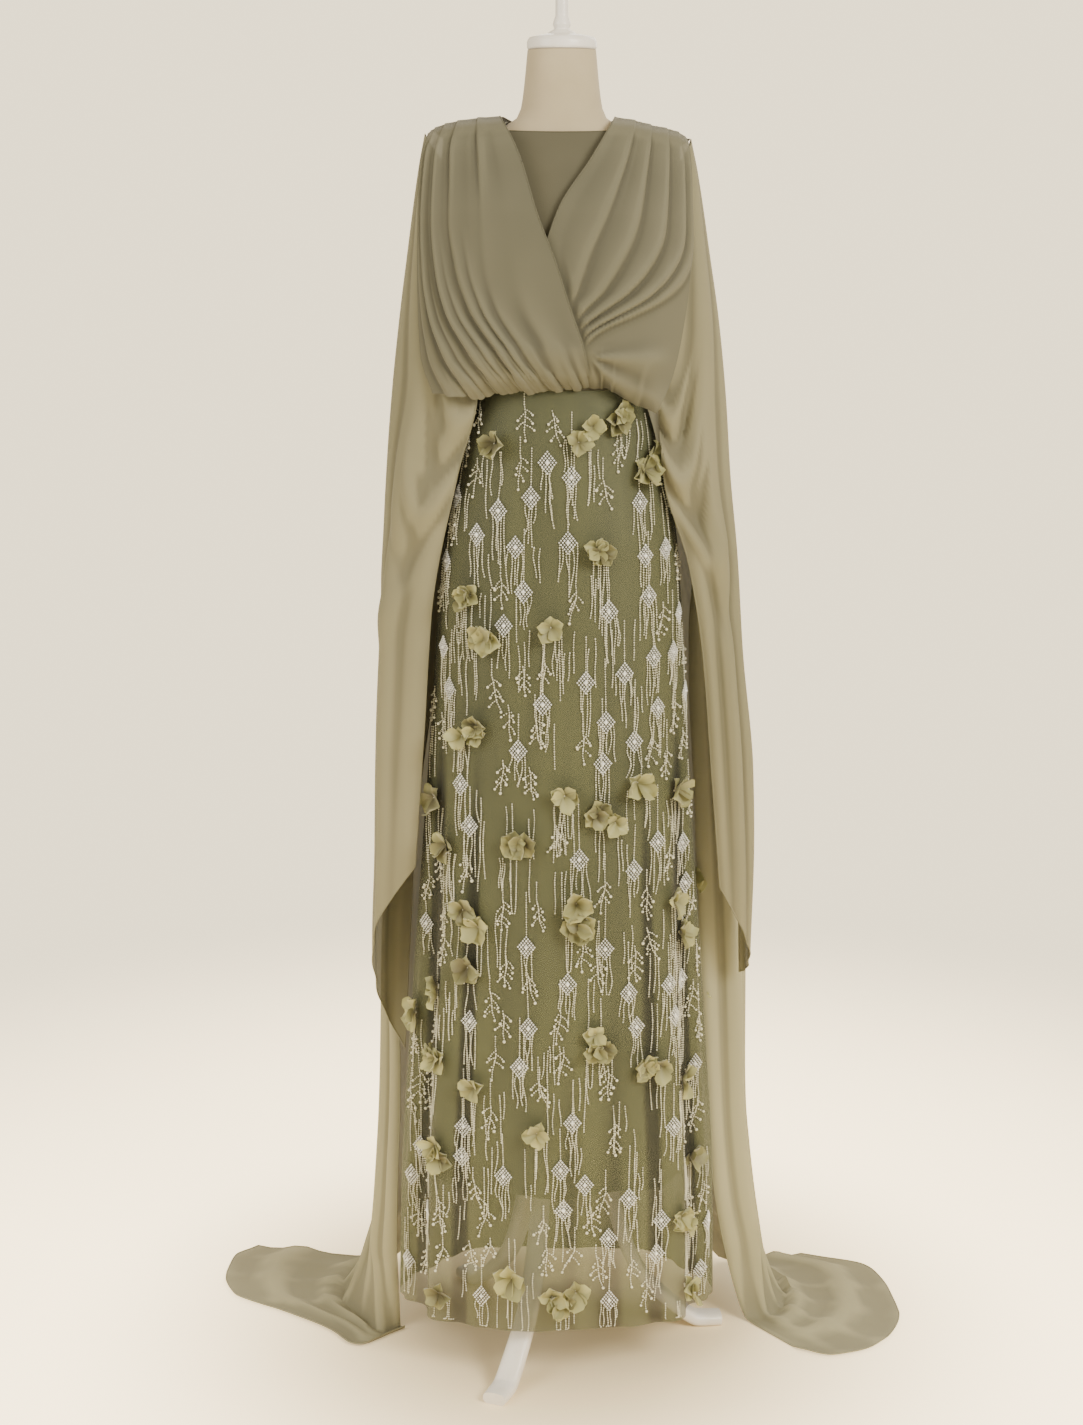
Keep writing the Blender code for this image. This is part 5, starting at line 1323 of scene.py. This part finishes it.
def two_tones(tree, shader, vector, light, dark, size, stretch):
    """Colour that drifts softly between two tones over a size in metres."""
    place = node(tree, "ShaderNodeMapping", {"Vector": vector, "Scale": stretch})
    drift = node(tree, "ShaderNodeTexNoise", {"Vector": place.outputs["Vector"], "Scale": 1.0 / size,
                                              "Detail": 3.0, "Roughness": 0.55})
    blend = node(tree, "ShaderNodeValToRGB", {"Fac": drift.outputs["Fac"]}, {"Color": shader.inputs["Base Color"]})
    blend.color_ramp.elements[0].position = 0.5 - TONE_SPREAD
    blend.color_ramp.elements[1].position = 0.5 + TONE_SPREAD
    blend.color_ramp.elements[0].color = (*dark, 1.0)
    blend.color_ramp.elements[1].color = (*light, 1.0)
    return blend


def toned_material(name, light, dark, drift, stretch, roughness, **rest):
    """A material whose colour drifts softly between two tones, with its coordinates."""
    material, tree, shader = plain_material(name, light, roughness, **rest)
    place = node(tree, "ShaderNodeTexCoord").outputs
    tone = two_tones(tree, shader, place["Object"], light, dark, drift, stretch)
    return material, tree, shader, place, tone


def grain(tree, shader, vector, cycles, detail, strength, distance):
    """Fine random relief, with so many cycles to the metre along each axis."""
    place = node(tree, "ShaderNodeMapping", {"Vector": vector, "Scale": cycles})
    noise = node(tree, "ShaderNodeTexNoise", {"Vector": place.outputs["Vector"], "Scale": 1.0, "Detail": detail})
    node(tree, "ShaderNodeBump", {"Height": noise.outputs["Fac"], "Strength": strength, "Distance": distance},
         {"Normal": shader.inputs["Normal"]})


def weave(tree, shader, uv, pitch, crinkle, share, strength):
    """Relief of crossed threads with a random crinkle over them, its sizes in metres."""
    across = node(tree, "ShaderNodeTexWave", {"Vector": uv, "Scale": math.tau / 20 / pitch},
                  wave_type="BANDS", bands_direction="X")
    along = node(tree, "ShaderNodeTexWave", {"Vector": uv, "Scale": math.tau / 20 / pitch},
                 wave_type="BANDS", bands_direction="Y")
    threads = node(tree, "ShaderNodeMath", {0: across.outputs["Fac"], 1: along.outputs["Fac"]}, operation="ADD")
    creased = node(tree, "ShaderNodeTexNoise", {"Vector": uv, "Scale": 1.0 / crinkle, "Detail": 4.0})
    mixed = node(tree, "ShaderNodeMath", {0: creased.outputs["Fac"], 1: share, 2: threads.outputs["Value"]},
                 operation="MULTIPLY_ADD")
    node(tree, "ShaderNodeBump", {"Height": mixed.outputs["Value"], "Strength": strength, "Distance": 0.0004},
         {"Normal": shader.inputs["Normal"]})


def paint_fold_shade(tree, shader, tone, least, most):
    """Painted shade in the troughs of folds and a painted highlight on their ridges."""
    fold = node(tree, "ShaderNodeAttribute", attribute_name="shade")
    painted_shade = node(tree, "ShaderNodeMapRange", {"Value": fold.outputs["Fac"], "To Min": least, "To Max": most})
    node(tree, "ShaderNodeVectorMath", {0: tone.outputs["Color"], "Scale": painted_shade.outputs["Result"]},
         {"Vector": shader.inputs["Base Color"]}, operation="SCALE")


def chiffon_material(name, alpha, light, dark, depth):
    """Piece-dyed polyester chiffon: fine twisted threads give a dull crinkle and a soft bloom.

    Depth is how much darker the painted shade makes the troughs of its folds, and it sets how much lighter the
    painted highlight makes their ridges.
    """
    material, tree, shader, place, tone = toned_material(name, light, dark, 0.22, (1.0, 1.0, 0.35), 0.8,
                                                         alpha=alpha, sheen=0.05)
    # Painted shade in the troughs of folds and a painted highlight on their ridges
    paint_fold_shade(tree, shader, tone, 1.0 - depth, 1.0 + depth * 0.65)
    # Threads are 0.3 mm apart and are drawn at 1.2 mm, the finest that shows
    weave(tree, shader, place["UV"], 0.0012, 0.0022, 2.2, 0.26)
    return material


def crepe_material(colours):
    """Matt polyester crepe: hard-twisted yarn gives a pebbled, dull face."""
    material, tree, shader, place, _ = toned_material("matt polyester crepe", colours.crepe, colours.crepe_shade,
                                                      0.12, EVEN, 0.88, sheen=0.15)
    # Pebbles are about 0.6 mm and are drawn at 1.5 mm
    grain(tree, shader, place["UV"], (650.0, 650.0, 650.0), 5.0, 0.25, 0.0005)
    return material


def lining_material(colours):
    """Woven polyester satin lining: long floats give a soft upright sheen."""
    material, tree, shader = plain_material("polyester satin lining", colours.lining, 0.52, sheen=0.1)
    place = node(tree, "ShaderNodeTexCoord").outputs
    two_tones(tree, shader, place["Object"], colours.lining_light, colours.lining, 0.09, (1.0, 1.0, 0.12))
    # Floats are 0.2 mm wide and are drawn at 1.1 mm
    grain(tree, shader, place["UV"], (900.0, 60.0, 1.0), 3.0, 0.15, 0.0004)
    return material


def net_material(colours, face):
    """Soft nylon tulle: a see-through mesh, gathered closer at the back, so the lining shows beneath it."""
    material, tree, shader, place, tone = toned_material(
        "soft nylon tulle, " + face, colours.net, colours.net_shade, 0.05, (1.0, 1.0, 0.1), 0.7,
        alpha=NET_ALPHA[face], sheen=0.12)
    # Painted shade in the troughs of the net's folds and a painted highlight on their ridges
    paint_fold_shade(tree, shader, tone, 0.45, 1.75)
    # The mesh's holes are under 1 mm, so its threads are drawn 1.6 mm apart
    weave(tree, shader, place["UV"], 0.0016, 0.003, 0.8, 0.1)
    return material


def petal_material(colours):
    """Net and organza petals: thin, slightly glossy, with painted shade toward the pinched middle."""
    material, tree, shader = plain_material("organza petals", colours.petal, 0.55, alpha=0.93, sheen=0.25)
    tone = node(tree, "ShaderNodeAttribute", attribute_name="shade")
    blend = node(tree, "ShaderNodeValToRGB", {"Fac": tone.outputs["Fac"]}, {"Color": shader.inputs["Base Color"]})
    steps = blend.color_ramp.elements
    steps.new(0.5)
    for step, colour in zip(steps, (colours.petal_middle_shade, colours.petal, colours.petal_pale)):
        step.color = (*colour, 1.0)
    place = node(tree, "ShaderNodeTexCoord").outputs
    grain(tree, shader, place["Object"], (900.0, 900.0, 900.0), 2.0, 0.2, 0.0003)
    return material


def bead_material(name, light, dark, roughness, metallic, coat):
    """Glass beads: each is a little lighter or darker than the next."""
    return toned_material(name, light, dark, 0.0035, EVEN, roughness, metallic=metallic, coat=coat)[0]


def form_material(colours):
    """Cotton jersey stretched over the padded form: knitted ribs and a chalky face."""
    material, tree, shader, place, _ = toned_material("cotton jersey cover", colours.form_cloth,
                                                      colours.form_shade, 0.1, EVEN, 0.86, sheen=0.2)
    # Knitted ribs are 0.5 mm apart and are drawn at 1.5 mm
    grain(tree, shader, place["Object"], (700.0, 700.0, 315.0), 3.0, 0.22, 0.0005)
    return material


def wood_material(colours):
    """Beech under satin white paint: brush marks along the piece and a faint warm wear."""
    material, tree, shader, place, _ = toned_material("satin paint on beech", colours.paint, colours.paint_shade,
                                                      0.05, (1.0, 1.0, 0.3), 0.38, coat=0.15)
    grain(tree, shader, place["Object"], (260.0, 260.0, 14.0), 3.0, 0.12, 0.0006)
    return material


def shown_strength(tree):
    """The room's strength: brighter where it is looked at than in the light that it gives."""
    path = node(tree, "ShaderNodeLightPath")
    level = node(tree, "ShaderNodeMapRange", {"Value": path.outputs["Is Camera Ray"], "To Min": ROOM_LIGHT,
                                              "To Max": ROOM_SHOWN})
    return level.outputs["Result"]


def floor_material(colours):
    """A plain pale floor that melts into the tone of the room behind, with a painted glow that grows away from the
    dress.
    """
    material, tree, shader = plain_material("pale studio floor", colours.floor, 0.9)
    place = node(tree, "ShaderNodeTexCoord")
    far = node(tree, "ShaderNodeVectorMath", {0: place.outputs["Object"]}, operation="LENGTH")
    melt = node(tree, "ShaderNodeMapRange", {"Value": far.outputs["Value"], "From Min": FLOOR_FADE[0],
                                             "From Max": FLOOR_FADE[1]}, interpolation_type="SMOOTHSTEP")
    # Painted glow: the floor emits its own colour, none near the dress and full farther out
    shader.inputs["Emission Color"].default_value = (*colours.floor, 1.0)
    node(tree, "ShaderNodeMapRange", {"Value": far.outputs["Value"], "From Min": FLOOR_SHADE[0],
                                      "From Max": FLOOR_SHADE[1], "To Max": FLOOR_GLOW},
         {"Result": shader.inputs["Emission Strength"]}, interpolation_type="SMOOTHSTEP")
    room = node(tree, "ShaderNodeEmission", {"Color": (*colours.room, 1.0), "Strength": shown_strength(tree)})
    node(tree, "ShaderNodeMixShader", {"Fac": melt.outputs["Result"], 1: shader.outputs["BSDF"],
                                       2: room.outputs["Emission"]},
         {"Shader": tree.nodes["Material Output"].inputs["Surface"]})
    return material


def colour_property(name, code, description):
    return bpy.props.FloatVectorProperty(name=name, description=description, default=to_linear(code),
                                         subtype="COLOR", min=0.0, max=1.0, size=3)


class DressColours(bpy.types.PropertyGroup):
    """Colours of the dress, its form and the room"""

    chiffon: colour_property("Chiffon", "666350", "Chiffon where it is full in the light")
    chiffon_shade: colour_property("Chiffon, deeper tone", "5B5947", "The deeper tone that the dye drifts to")
    # The capes are the same chiffon painted lighter: painted light for the light that comes through one layer
    hanging: colour_property("Hanging chiffon", "827D62", "Chiffon of the capes, one layer hanging alone")
    hanging_shade: colour_property("Hanging chiffon, deeper tone", "757157", "The deeper tone of the capes")
    # The trains are the same chiffon painted lighter still: painted light from the pale floor beneath
    train: colour_property("Trains", "999577", "Chiffon of the trains, where the pale floor lights it")
    train_shade: colour_property("Trains, deeper tone", "8C886C", "The deeper tone of the trains")
    crepe: colour_property("Crepe", "514E3C", "Crepe of the under bodice and sleeves")
    crepe_shade: colour_property("Crepe, deeper tone", "4A4736", "The deeper tone of the crepe")
    lining: colour_property("Lining", "232417", "Satin lining of the skirt")
    lining_light: colour_property("Lining, lighter tone", "2A2B1B", "The lighter tone of the lining")
    net: colour_property("Net", "494B31", "Net of the outer skirt")
    net_shade: colour_property("Net, deeper tone", "3E402A", "The deeper tone of the net")
    petal: colour_property("Petals", "8A885A", "Petals of the sewn flowers")
    petal_pale: colour_property("Petal tips", "A9A772", "Tips of the petals")
    # Painted shade: the petals grow darker toward the pinched middle
    petal_middle_shade: colour_property("Petal middles", "565132", "Pinched middles of the flowers")
    bead: colour_property("Bead strings", "DDDAC2", "Glass beads of the hanging strings")
    silver: colour_property("Silver beads", "F4F4EF", "Foil-lined beads of the lozenges")
    form_cloth: colour_property("Form cover", "AFA285", "Jersey cover of the form")
    form_shade: colour_property("Form cover, deeper tone", "A4977A", "The deeper tone of the cover")
    paint: colour_property("Painted wood", "E9E6E1", "Satin paint of the stand")
    paint_shade: colour_property("Painted wood, worn tone", "DDD8CE", "Where the paint has worn thin")
    floor: colour_property("Floor", "F1DEB6", "Studio floor")
    room: colour_property("Room", "D8C9AA", "Tone of the room behind")


def length_property(name, description, default, low, high):
    return bpy.props.FloatProperty(name=name, description=description, default=default, min=low, max=high,
                                   unit="LENGTH", precision=4)


class DressSizes(bpy.types.PropertyGroup):
    """Sizes of the cloth, beads and flowers"""

    cloth_wall: length_property("Cloth thickness", "Thickness of the chiffon and crepe", CLOTH_WALL, 0.0003, 0.002)
    net_wall: length_property("Net thickness", "Thickness of the net", 0.0004, 0.0002, 0.002)
    hem_radius: length_property("Rolled hem", "Radius of the narrow rolled hems", 0.001, 0.0004, 0.003)
    bead_radius: length_property("Bead radius", "Radius of the string beads", 0.00124, 0.0005, 0.003)
    bead_pitch: length_property("Bead spacing", "From bead to bead along a string", 0.0033, 0.0015, 0.006)
    stone_radius: length_property("Stone radius", "Radius of the lozenge's small stones", 0.00175, 0.0008, 0.004)
    tip_radius: length_property("Sprig bead radius", "Radius of the round sprig beads", 0.0021, 0.001, 0.004)
    seed: bpy.props.IntProperty(name="Layout seed", description="Fixes where the motifs fall", default=7, min=0)


def sizes():
    return bpy.context.scene.dress_sizes


def colours():
    return bpy.context.scene.dress_colours


def hang_sheet_piece(name, grid, thickness, material, slot, nodes, flat, held, rests_on, **wall):
    """One piece of cloth: its wall, its hems and what the frame is told about it."""
    stock = Stock()
    add_cloth(stock, grid, thickness, sizes().hem_radius, **wall)
    piece = stock.make(name, material)
    declare(piece, nodes, (flat, held, rests_on))
    return piece


class DRESS_OT_form(bpy.types.Operator):
    """Make the padded form under its jersey cover"""

    bl_idname = "dress.form"
    bl_label = "Form"

    def execute(self, context):
        rows, columns = GRIDS["form"]
        heights = np.linspace(TORSO["height"][0], TORSO["height"][-1], rows)[:, None]
        degrees = np.linspace(0, 360, columns, endpoint=False)[None, :]
        rings = section_point(TORSO, heights, degrees)
        piece = closed_rings("form_cover", rings, form_material(colours()), 70.0)
        declare(piece, ["form_torso"])
        return {"FINISHED"}


class DRESS_OT_stand(bpy.types.Operator):
    """Make the turned cap, the pole, the hub and the three curved legs"""

    bl_idname = "dress.stand"
    bl_label = "Stand"

    def execute(self, context):
        paint = wood_material(colours())
        declare(turned("turned_cap", CAP, paint, 64), ["neck_cap"])
        pole = table("radius height", (0.0, HUB_TOP_Z + SEAM_GAP), (POLE_RADIUS, HUB_TOP_Z + SEAM_GAP),
                     (POLE_RADIUS, TORSO["height"][-1] - SEAM_GAP), (0.0, TORSO["height"][-1] - SEAM_GAP))
        declare(turned("pole", pole, paint, 40, 0), ["stand_pole"])
        hub = table("radius height", (0.0, HUB_BOTTOM_Z), (HUB_RADIUS * 0.7, HUB_BOTTOM_Z),
                    (HUB_RADIUS, HUB_BOTTOM_Z + 0.01), (HUB_RADIUS, HUB_TOP_Z - 0.012),
                    (HUB_RADIUS * 0.6, HUB_TOP_Z), (0.0, HUB_TOP_Z))
        declare(turned("hub", hub, paint, 56), ["tripod_hub"])
        for name, turn in LEG_DEGREES.items():
            piece = closed_rings("curved_" + name, leg_rings(turn), paint, 40.0)
            declare(piece, [name])
        return {"FINISHED"}


class DRESS_OT_bodice(bpy.types.Operator):
    """Make the close crepe bodice and its two empty sleeves"""

    bl_idname = "dress.bodice"
    bl_label = "Bodice and sleeves"

    def execute(self, context):
        crepe = crepe_material(colours())
        wall = sizes().cloth_wall
        rows, columns = GRIDS["bodice"]
        for name, middle in (("bodice_front", 0.0), ("bodice_back", 180.0)):
            turn = np.linspace(-1, 1, columns)[None, :]
            share = np.linspace(1, 0, rows)[:, None]
            neck = NECK_FRONT_Z if middle == 0 else NECK_SIDE_Z - 0.004
            top = neck + (NECK_SIDE_Z - neck) * ease((np.abs(turn) - NECK_CURVE["from"]) / NECK_CURVE["over"])
            height = WAIST_Z + (top - WAIST_Z) * share
            opening = ease((height - ARMHOLE_LOW_Z) / 0.05) * ease((ARMHOLE_TOP_Z - height) / 0.03)
            degrees = middle + turn * (90.0 - ARMHOLE_DEGREES * opening - SEAM_DEGREES)
            grid = section_point(TORSO, height, degrees)
            grid = grid + grid_normals(grid) * (BODICE_CLEAR + WALL / 2)
            grid[-1, :, 2] = WAIST_Z + 2 * SEAM_GAP
            hang_sheet_piece("crepe_" + name, grid, wall, crepe, "crepe", [name], (0.36, 0.36), "hung",
                             ["form_cover"], hems=("top",))
        rows, columns = GRIDS["sleeve"]
        for name, side, shift in (("sleeve_right", -1.0, 0.0), ("sleeve_left", 1.0, SLEEVE_LEFT_SHIFT)):
            angles = np.linspace(0, math.tau, columns, endpoint=False)[None, :]
            height = np.linspace(SLEEVE["height"][0], SLEEVE["height"][-1], rows)[:, None]
            middle, thick, depth, tilt = (read(SLEEVE, c, "height", height)
                                          for c in ("middle", "half_thickness", "half_depth", "tilt"))
            middle = middle + shift * ease((SLEEVE_SHIFT_Z - height) / 0.1)
            x = middle + thick * rounded(np.cos(angles), SLEEVE_ROUNDING)
            y = SLEEVE_MIDDLE_Y + depth * rounded(np.sin(angles), SLEEVE_ROUNDING)
            z = height + tilt * np.cos(angles)
            x = np.maximum(x, torso_side(y, z, SLEEVE_SEAT))
            grid = to_side(np.stack(np.broadcast_arrays(x, y, z), axis=-1), side)
            crease = np.zeros(grid.shape[:2])
            for at, where, tall, wide in SLEEVE_CREASES:
                slant = height + 0.012 * np.sin(angles + at) - where
                crease = crease + tall / 1000 * np.exp(-(slant / wide) ** 2) * (0.5 + 0.5 * np.cos(angles - at))
            grid = grid + grid_normals(grid, True) * crease[..., None]
            hang_sheet_piece("crepe_" + name, grid, wall, crepe, "crepe", [name], (0.16, 0.55), "hung",
                             ["crepe_bodice_front"], closed=True, hems=("bottom",))
        return {"FINISHED"}


class DRESS_OT_skirt(bpy.types.Operator):
    """Make the satin lining and the longer net skirt over it"""

    bl_idname = "dress.skirt"
    bl_label = "Lining and net"

    def execute(self, context):
        satin = lining_material(colours())
        for face, middle in (("front", 0.0), ("back", 180.0)):
            share, degrees = half_skirt(middle, *GRIDS["lining"])
            droop = HEM_DROOP * np.cos(np.radians(degrees * 7.0)) * ease((share - 0.9) / 0.1)
            height = WAIST_Z - SEAM_GAP + (LINING_HEM_Z - WAIST_Z) * share - droop
            inset = LINING_INSET_TOP + (LINING_INSET_HEM - LINING_INSET_TOP) * share
            wave = 0.003 * np.sin(np.radians(degrees * 9.0) + 0.7) * ease((share - 0.35) / 0.6)
            grid = section_point(SKIRT, height, degrees, wave - inset, SKIRT_CENTRE_X * share)
            hang_sheet_piece("satin_lining_" + face, grid, sizes().cloth_wall, satin, "lining_satin",
                             ["lining_" + face], (0.44, 1.14), "hung", ["crepe_bodice_front"],
                             hems=("bottom",))
            share, degrees = half_skirt(middle, *GRIDS["net"])
            height = WAIST_Z + (net_hem(degrees) - WAIST_Z) * share
            tulle = net_material(colours(), face)
            hang_sheet_piece("tulle_" + face, net_point(degrees, height), sizes().net_wall, tulle,
                             "embroidered_net", ["net_" + face], (0.56, 1.35), "gathered",
                             ["satin_lining_" + face], reaches=NET_FOLD_REACHES)
        return {"FINISHED"}


class DRESS_OT_embroidery(bpy.types.Operator):
    """Lay out and sew on the bead strings, lozenges, sprigs and flowers"""

    bl_idname = "dress.embroidery"
    bl_label = "Beads and flowers"

    def execute(self, context):
        size, tint = sizes(), colours()
        glass = bead_material("cream glass beads", tint.bead, [c * 0.6 for c in tint.bead], 0.3, 0.0, 0.5)
        foil = bead_material("foil-lined glass beads", tint.silver, [c * 0.62 for c in tint.silver], 0.24, 0.2, 0.6)
        petals_finish = petal_material(tint)
        threaded = bead_tree("thread beads on a string", True)
        single = bead_tree("set beads on points", False)
        for face, middle, wanted in (("front", 0.0, FRONT_MOTIFS), ("back", 180.0, BACK_MOTIFS)):
            random = np.random.default_rng(size.seed + int(middle))
            skirt = SkirtMap(middle)
            strings, stones, tips, petals = Strings(), [], [], Stock()
            for spot in lay_out_motifs(skirt, random, wanted, MOTIF_REACH):
                if spot[0] == "flower":
                    add_flower(spot, random, skirt, petals, strings, tips)
                elif spot[0] == "lozenge":
                    add_lozenge(spot, random, strings, stones)
                elif spot[0] == "sprig":
                    add_sprig(spot, random, strings, tips)
                else:
                    add_lines(spot, random, strings)
            beads = thread_beads(strings.mesh_on(skirt, "bead_strings_" + face), threaded,
                                 {"Bead radius": size.bead_radius, "Bead length": BEAD_LENGTH,
                                  "Pitch": size.bead_pitch, "Sides": 5, "Rings": 2, "Seed": size.seed,
                                  "Material": glass})
            declare(beads, [])
            for name, spots, radius, rings, material in (
                    ("lozenge_stones_", stones, size.stone_radius, 2, foil),
                    ("sprig_beads_", tips, size.tip_radius, 4, glass)):
                aside, height, scale = np.array(spots).T
                places = skirt.points(aside, height, STRING_LIFT + radius * 0.6)
                piece = thread_beads(points_piece(name + face, places, scale), single,
                                     {"Bead radius": radius, "Bead length": 1.0, "Pitch": 1.0, "Sides": 6,
                                      "Rings": rings, "Seed": size.seed, "Material": material})
                declare(piece, [])
            declare(petals.make("sewn_flowers_" + face, petals_finish), [])
        return {"FINISHED"}


class DRESS_OT_blouse(bpy.types.Operator):
    """Make the crossed, pleated blouse fronts and the blouse's back"""

    bl_idname = "dress.blouse"
    bl_label = "Blouse"

    def execute(self, context):
        tint, wall = colours(), sizes().cloth_wall
        # Over crepe the chiffon is fuller in tone, and the painted shade in its pleats is the deepest
        chiffon = chiffon_material("dyed chiffon over crepe", BLOUSE_ALPHA, tint.chiffon, tint.chiffon_shade,
                                   PLEAT_SHADE_DEPTH)
        grid = wrap_grid(OVER_WRAP, SHOULDER_RIGHT, OVER_WRAP_HEM, WRAP_LAYER, OVER_FOLDS, OVER_GATHERS)
        hang_sheet_piece("chiffon_wrap_right", grid, wall, chiffon, "chiffon", ["wrap_right"], (0.25, 0.37),
                         "gathered", ["crepe_bodice_front"], hems=("right",))
        grid = wrap_grid(UNDER_WRAP, SHOULDER_LEFT, UNDER_WRAP_HEM, UNDER_LAYER, UNDER_FOLDS, UNDER_GATHERS,
                         over_edge_cover, drawn_together)
        hang_sheet_piece("chiffon_wrap_left", grid, wall, chiffon, "chiffon", ["wrap_left"], (0.24, 0.36),
                         "gathered", ["crepe_bodice_front"], hems=("left",))
        for name, side, shoulder in (("right", -1.0, SHOULDER_RIGHT), ("left", 1.0, SHOULDER_LEFT)):
            grid = blouse_back_grid(side, shoulder)
            hang_sheet_piece("chiffon_back_" + name, grid, wall, chiffon, "chiffon", ["blouse_back_" + name],
                             (0.17, 0.36), "gathered", ["crepe_bodice_back"])
        return {"FINISHED"}


class DRESS_OT_capes(bpy.types.Operator):
    """Make the two cape sleeves"""

    bl_idname = "dress.capes"
    bl_label = "Cape sleeves"

    def execute(self, context):
        tint = colours()
        # One layer of chiffon lets some light through; its lighter colour is painted light for this, and its folds
        # get painted shade
        chiffon = chiffon_material("dyed chiffon hanging alone, painted lighter", HANGING_ALPHA, tint.hanging, tint.hanging_shade,
                                   FOLD_SHADE_DEPTH)
        for name, rows, side, hem, folds, creases in (
                ("right", CAPE_RIGHT, -1.0, CAPE_RIGHT_HEM, CAPE_RIGHT_FOLDS, CAPE_RIGHT_SWAGS),
                ("left", CAPE_LEFT, 1.0, CAPE_LEFT_HEM, CAPE_LEFT_FOLDS, CAPE_LEFT_SWAGS)):
            grid = cape_grid(rows, side, hem, folds, creases)
            hang_sheet_piece("chiffon_cape_" + name, grid, sizes().cloth_wall, chiffon, "chiffon",
                             ["cape_" + name], (0.26, 1.08), "hung", ["chiffon_wrap_" + name],
                             hems=("left", "right", "bottom"))
        return {"FINISHED"}


class DRESS_OT_trains(bpy.types.Operator):
    """Make the two back panels that spread on the floor as trains"""

    bl_idname = "dress.trains"
    bl_label = "Trains"

    def execute(self, context):
        tint = colours()
        # The pale floor lights the trains from beneath; their lighter colour is painted light for this, and their
        # folds get painted shade
        chiffon = chiffon_material("dyed chiffon painted lighter by the floor", HANGING_ALPHA, tint.train, tint.train_shade,
                                   FOLD_SHADE_DEPTH)
        for name, rows, floor, shoulder, side, folds in (
                ("right", TRAIN_RIGHT, FLOOR_RIGHT, SHOULDER_RIGHT, -1.0, TRAIN_RIGHT_FOLDS),
                ("left", TRAIN_LEFT, FLOOR_LEFT, SHOULDER_LEFT, 1.0, TRAIN_LEFT_FOLDS)):
            grid = train_grid(rows, floor, shoulder, side, folds)
            hang_sheet_piece("chiffon_train_" + name, grid, sizes().cloth_wall, chiffon, "chiffon",
                             ["train_" + name], (0.28, 1.92), "hung", ["chiffon_back_" + name],
                             floor=0.0005, hems=("left", "right", "bottom"))
        return {"FINISHED"}


def soft_light(name, place, aim, size, power, colour):
    """A square soft light at a place, turned toward a point."""
    data = bpy.data.lights.new(name, "AREA")
    data.shape, data.size, data.energy, data.color = "SQUARE", size, power, colour
    light = add_object(name, data)
    light.location = place
    toward = np.array(aim) - np.array(place)
    level = math.hypot(toward[0], toward[1])
    light.rotation_euler = (math.atan2(level, -toward[2]), 0.0, math.atan2(-toward[0], toward[1]))


class DRESS_OT_studio(bpy.types.Operator):
    """Set up the floor, the soft lights, the room's tone and the camera"""

    bl_idname = "dress.studio"
    bl_label = "Studio"

    def execute(self, context):
        turn = np.linspace(0, math.tau, 96, endpoint=False)
        rim = np.stack([FLOOR_RADIUS * np.cos(turn), FLOOR_RADIUS * np.sin(turn), np.full(96, -0.0002)], axis=-1)
        mesh = bpy.data.meshes.new("studio_floor")
        mesh.from_pydata(rim.tolist(), [], [list(range(96))])
        mesh.materials.append(floor_material(colours()))
        floor = add_object("studio_floor", mesh)
        for light in LIGHTS:
            soft_light(*light)
        room = bpy.data.worlds.new("room")
        room.use_nodes = True
        sky = room.node_tree.nodes["Background"]
        sky.inputs["Color"].default_value = (*colours().room, 1.0)
        room.node_tree.links.new(shown_strength(room.node_tree), sky.inputs["Strength"])
        context.scene.world = room
        data = bpy.data.cameras.new("camera")
        data.lens = CAMERA_LENS
        camera = add_object("camera", data)
        camera.location = CAMERA_PLACE
        camera.rotation_euler = (math.radians(90.0 - CAMERA_DOWN_DEGREES), 0.0, 0.0)
        context.scene.camera = camera
        return {"FINISHED"}


STEPS = (DRESS_OT_form, DRESS_OT_stand, DRESS_OT_bodice, DRESS_OT_skirt, DRESS_OT_embroidery,
         DRESS_OT_blouse, DRESS_OT_capes, DRESS_OT_trains, DRESS_OT_studio)


class DRESS_PT_panel(bpy.types.Panel):
    """Lists the sizes, the colours and the steps that build the dress"""

    bl_idname = "DRESS_PT_panel"
    bl_label = "Maxi dress"
    bl_space_type = "VIEW_3D"
    bl_region_type = "UI"
    bl_category = "Dress"

    def draw(self, context):
        for group in (context.scene.dress_sizes, context.scene.dress_colours):
            box = self.layout.box()
            for name in group.bl_rna.properties.keys():
                if name not in ("rna_type", "name"):
                    box.prop(group, name)
        for step in STEPS:
            self.layout.operator(step.bl_idname)


CLASSES = (DressColours, DressSizes, *STEPS, DRESS_PT_panel)


def register():
    for item in CLASSES:
        bpy.utils.register_class(item)
    bpy.types.Scene.dress_colours = bpy.props.PointerProperty(type=DressColours)
    bpy.types.Scene.dress_sizes = bpy.props.PointerProperty(type=DressSizes)


def unregister():
    del bpy.types.Scene.dress_sizes
    del bpy.types.Scene.dress_colours
    for item in reversed(CLASSES):
        bpy.utils.unregister_class(item)


def main():
    register()
    bpy.ops.dress.form()
    bpy.ops.dress.stand()
    bpy.ops.dress.bodice()
    bpy.ops.dress.skirt()
    bpy.ops.dress.embroidery()
    bpy.ops.dress.blouse()
    bpy.ops.dress.capes()
    bpy.ops.dress.trains()
    bpy.ops.dress.studio()


if __name__ == "__main__":
    main()
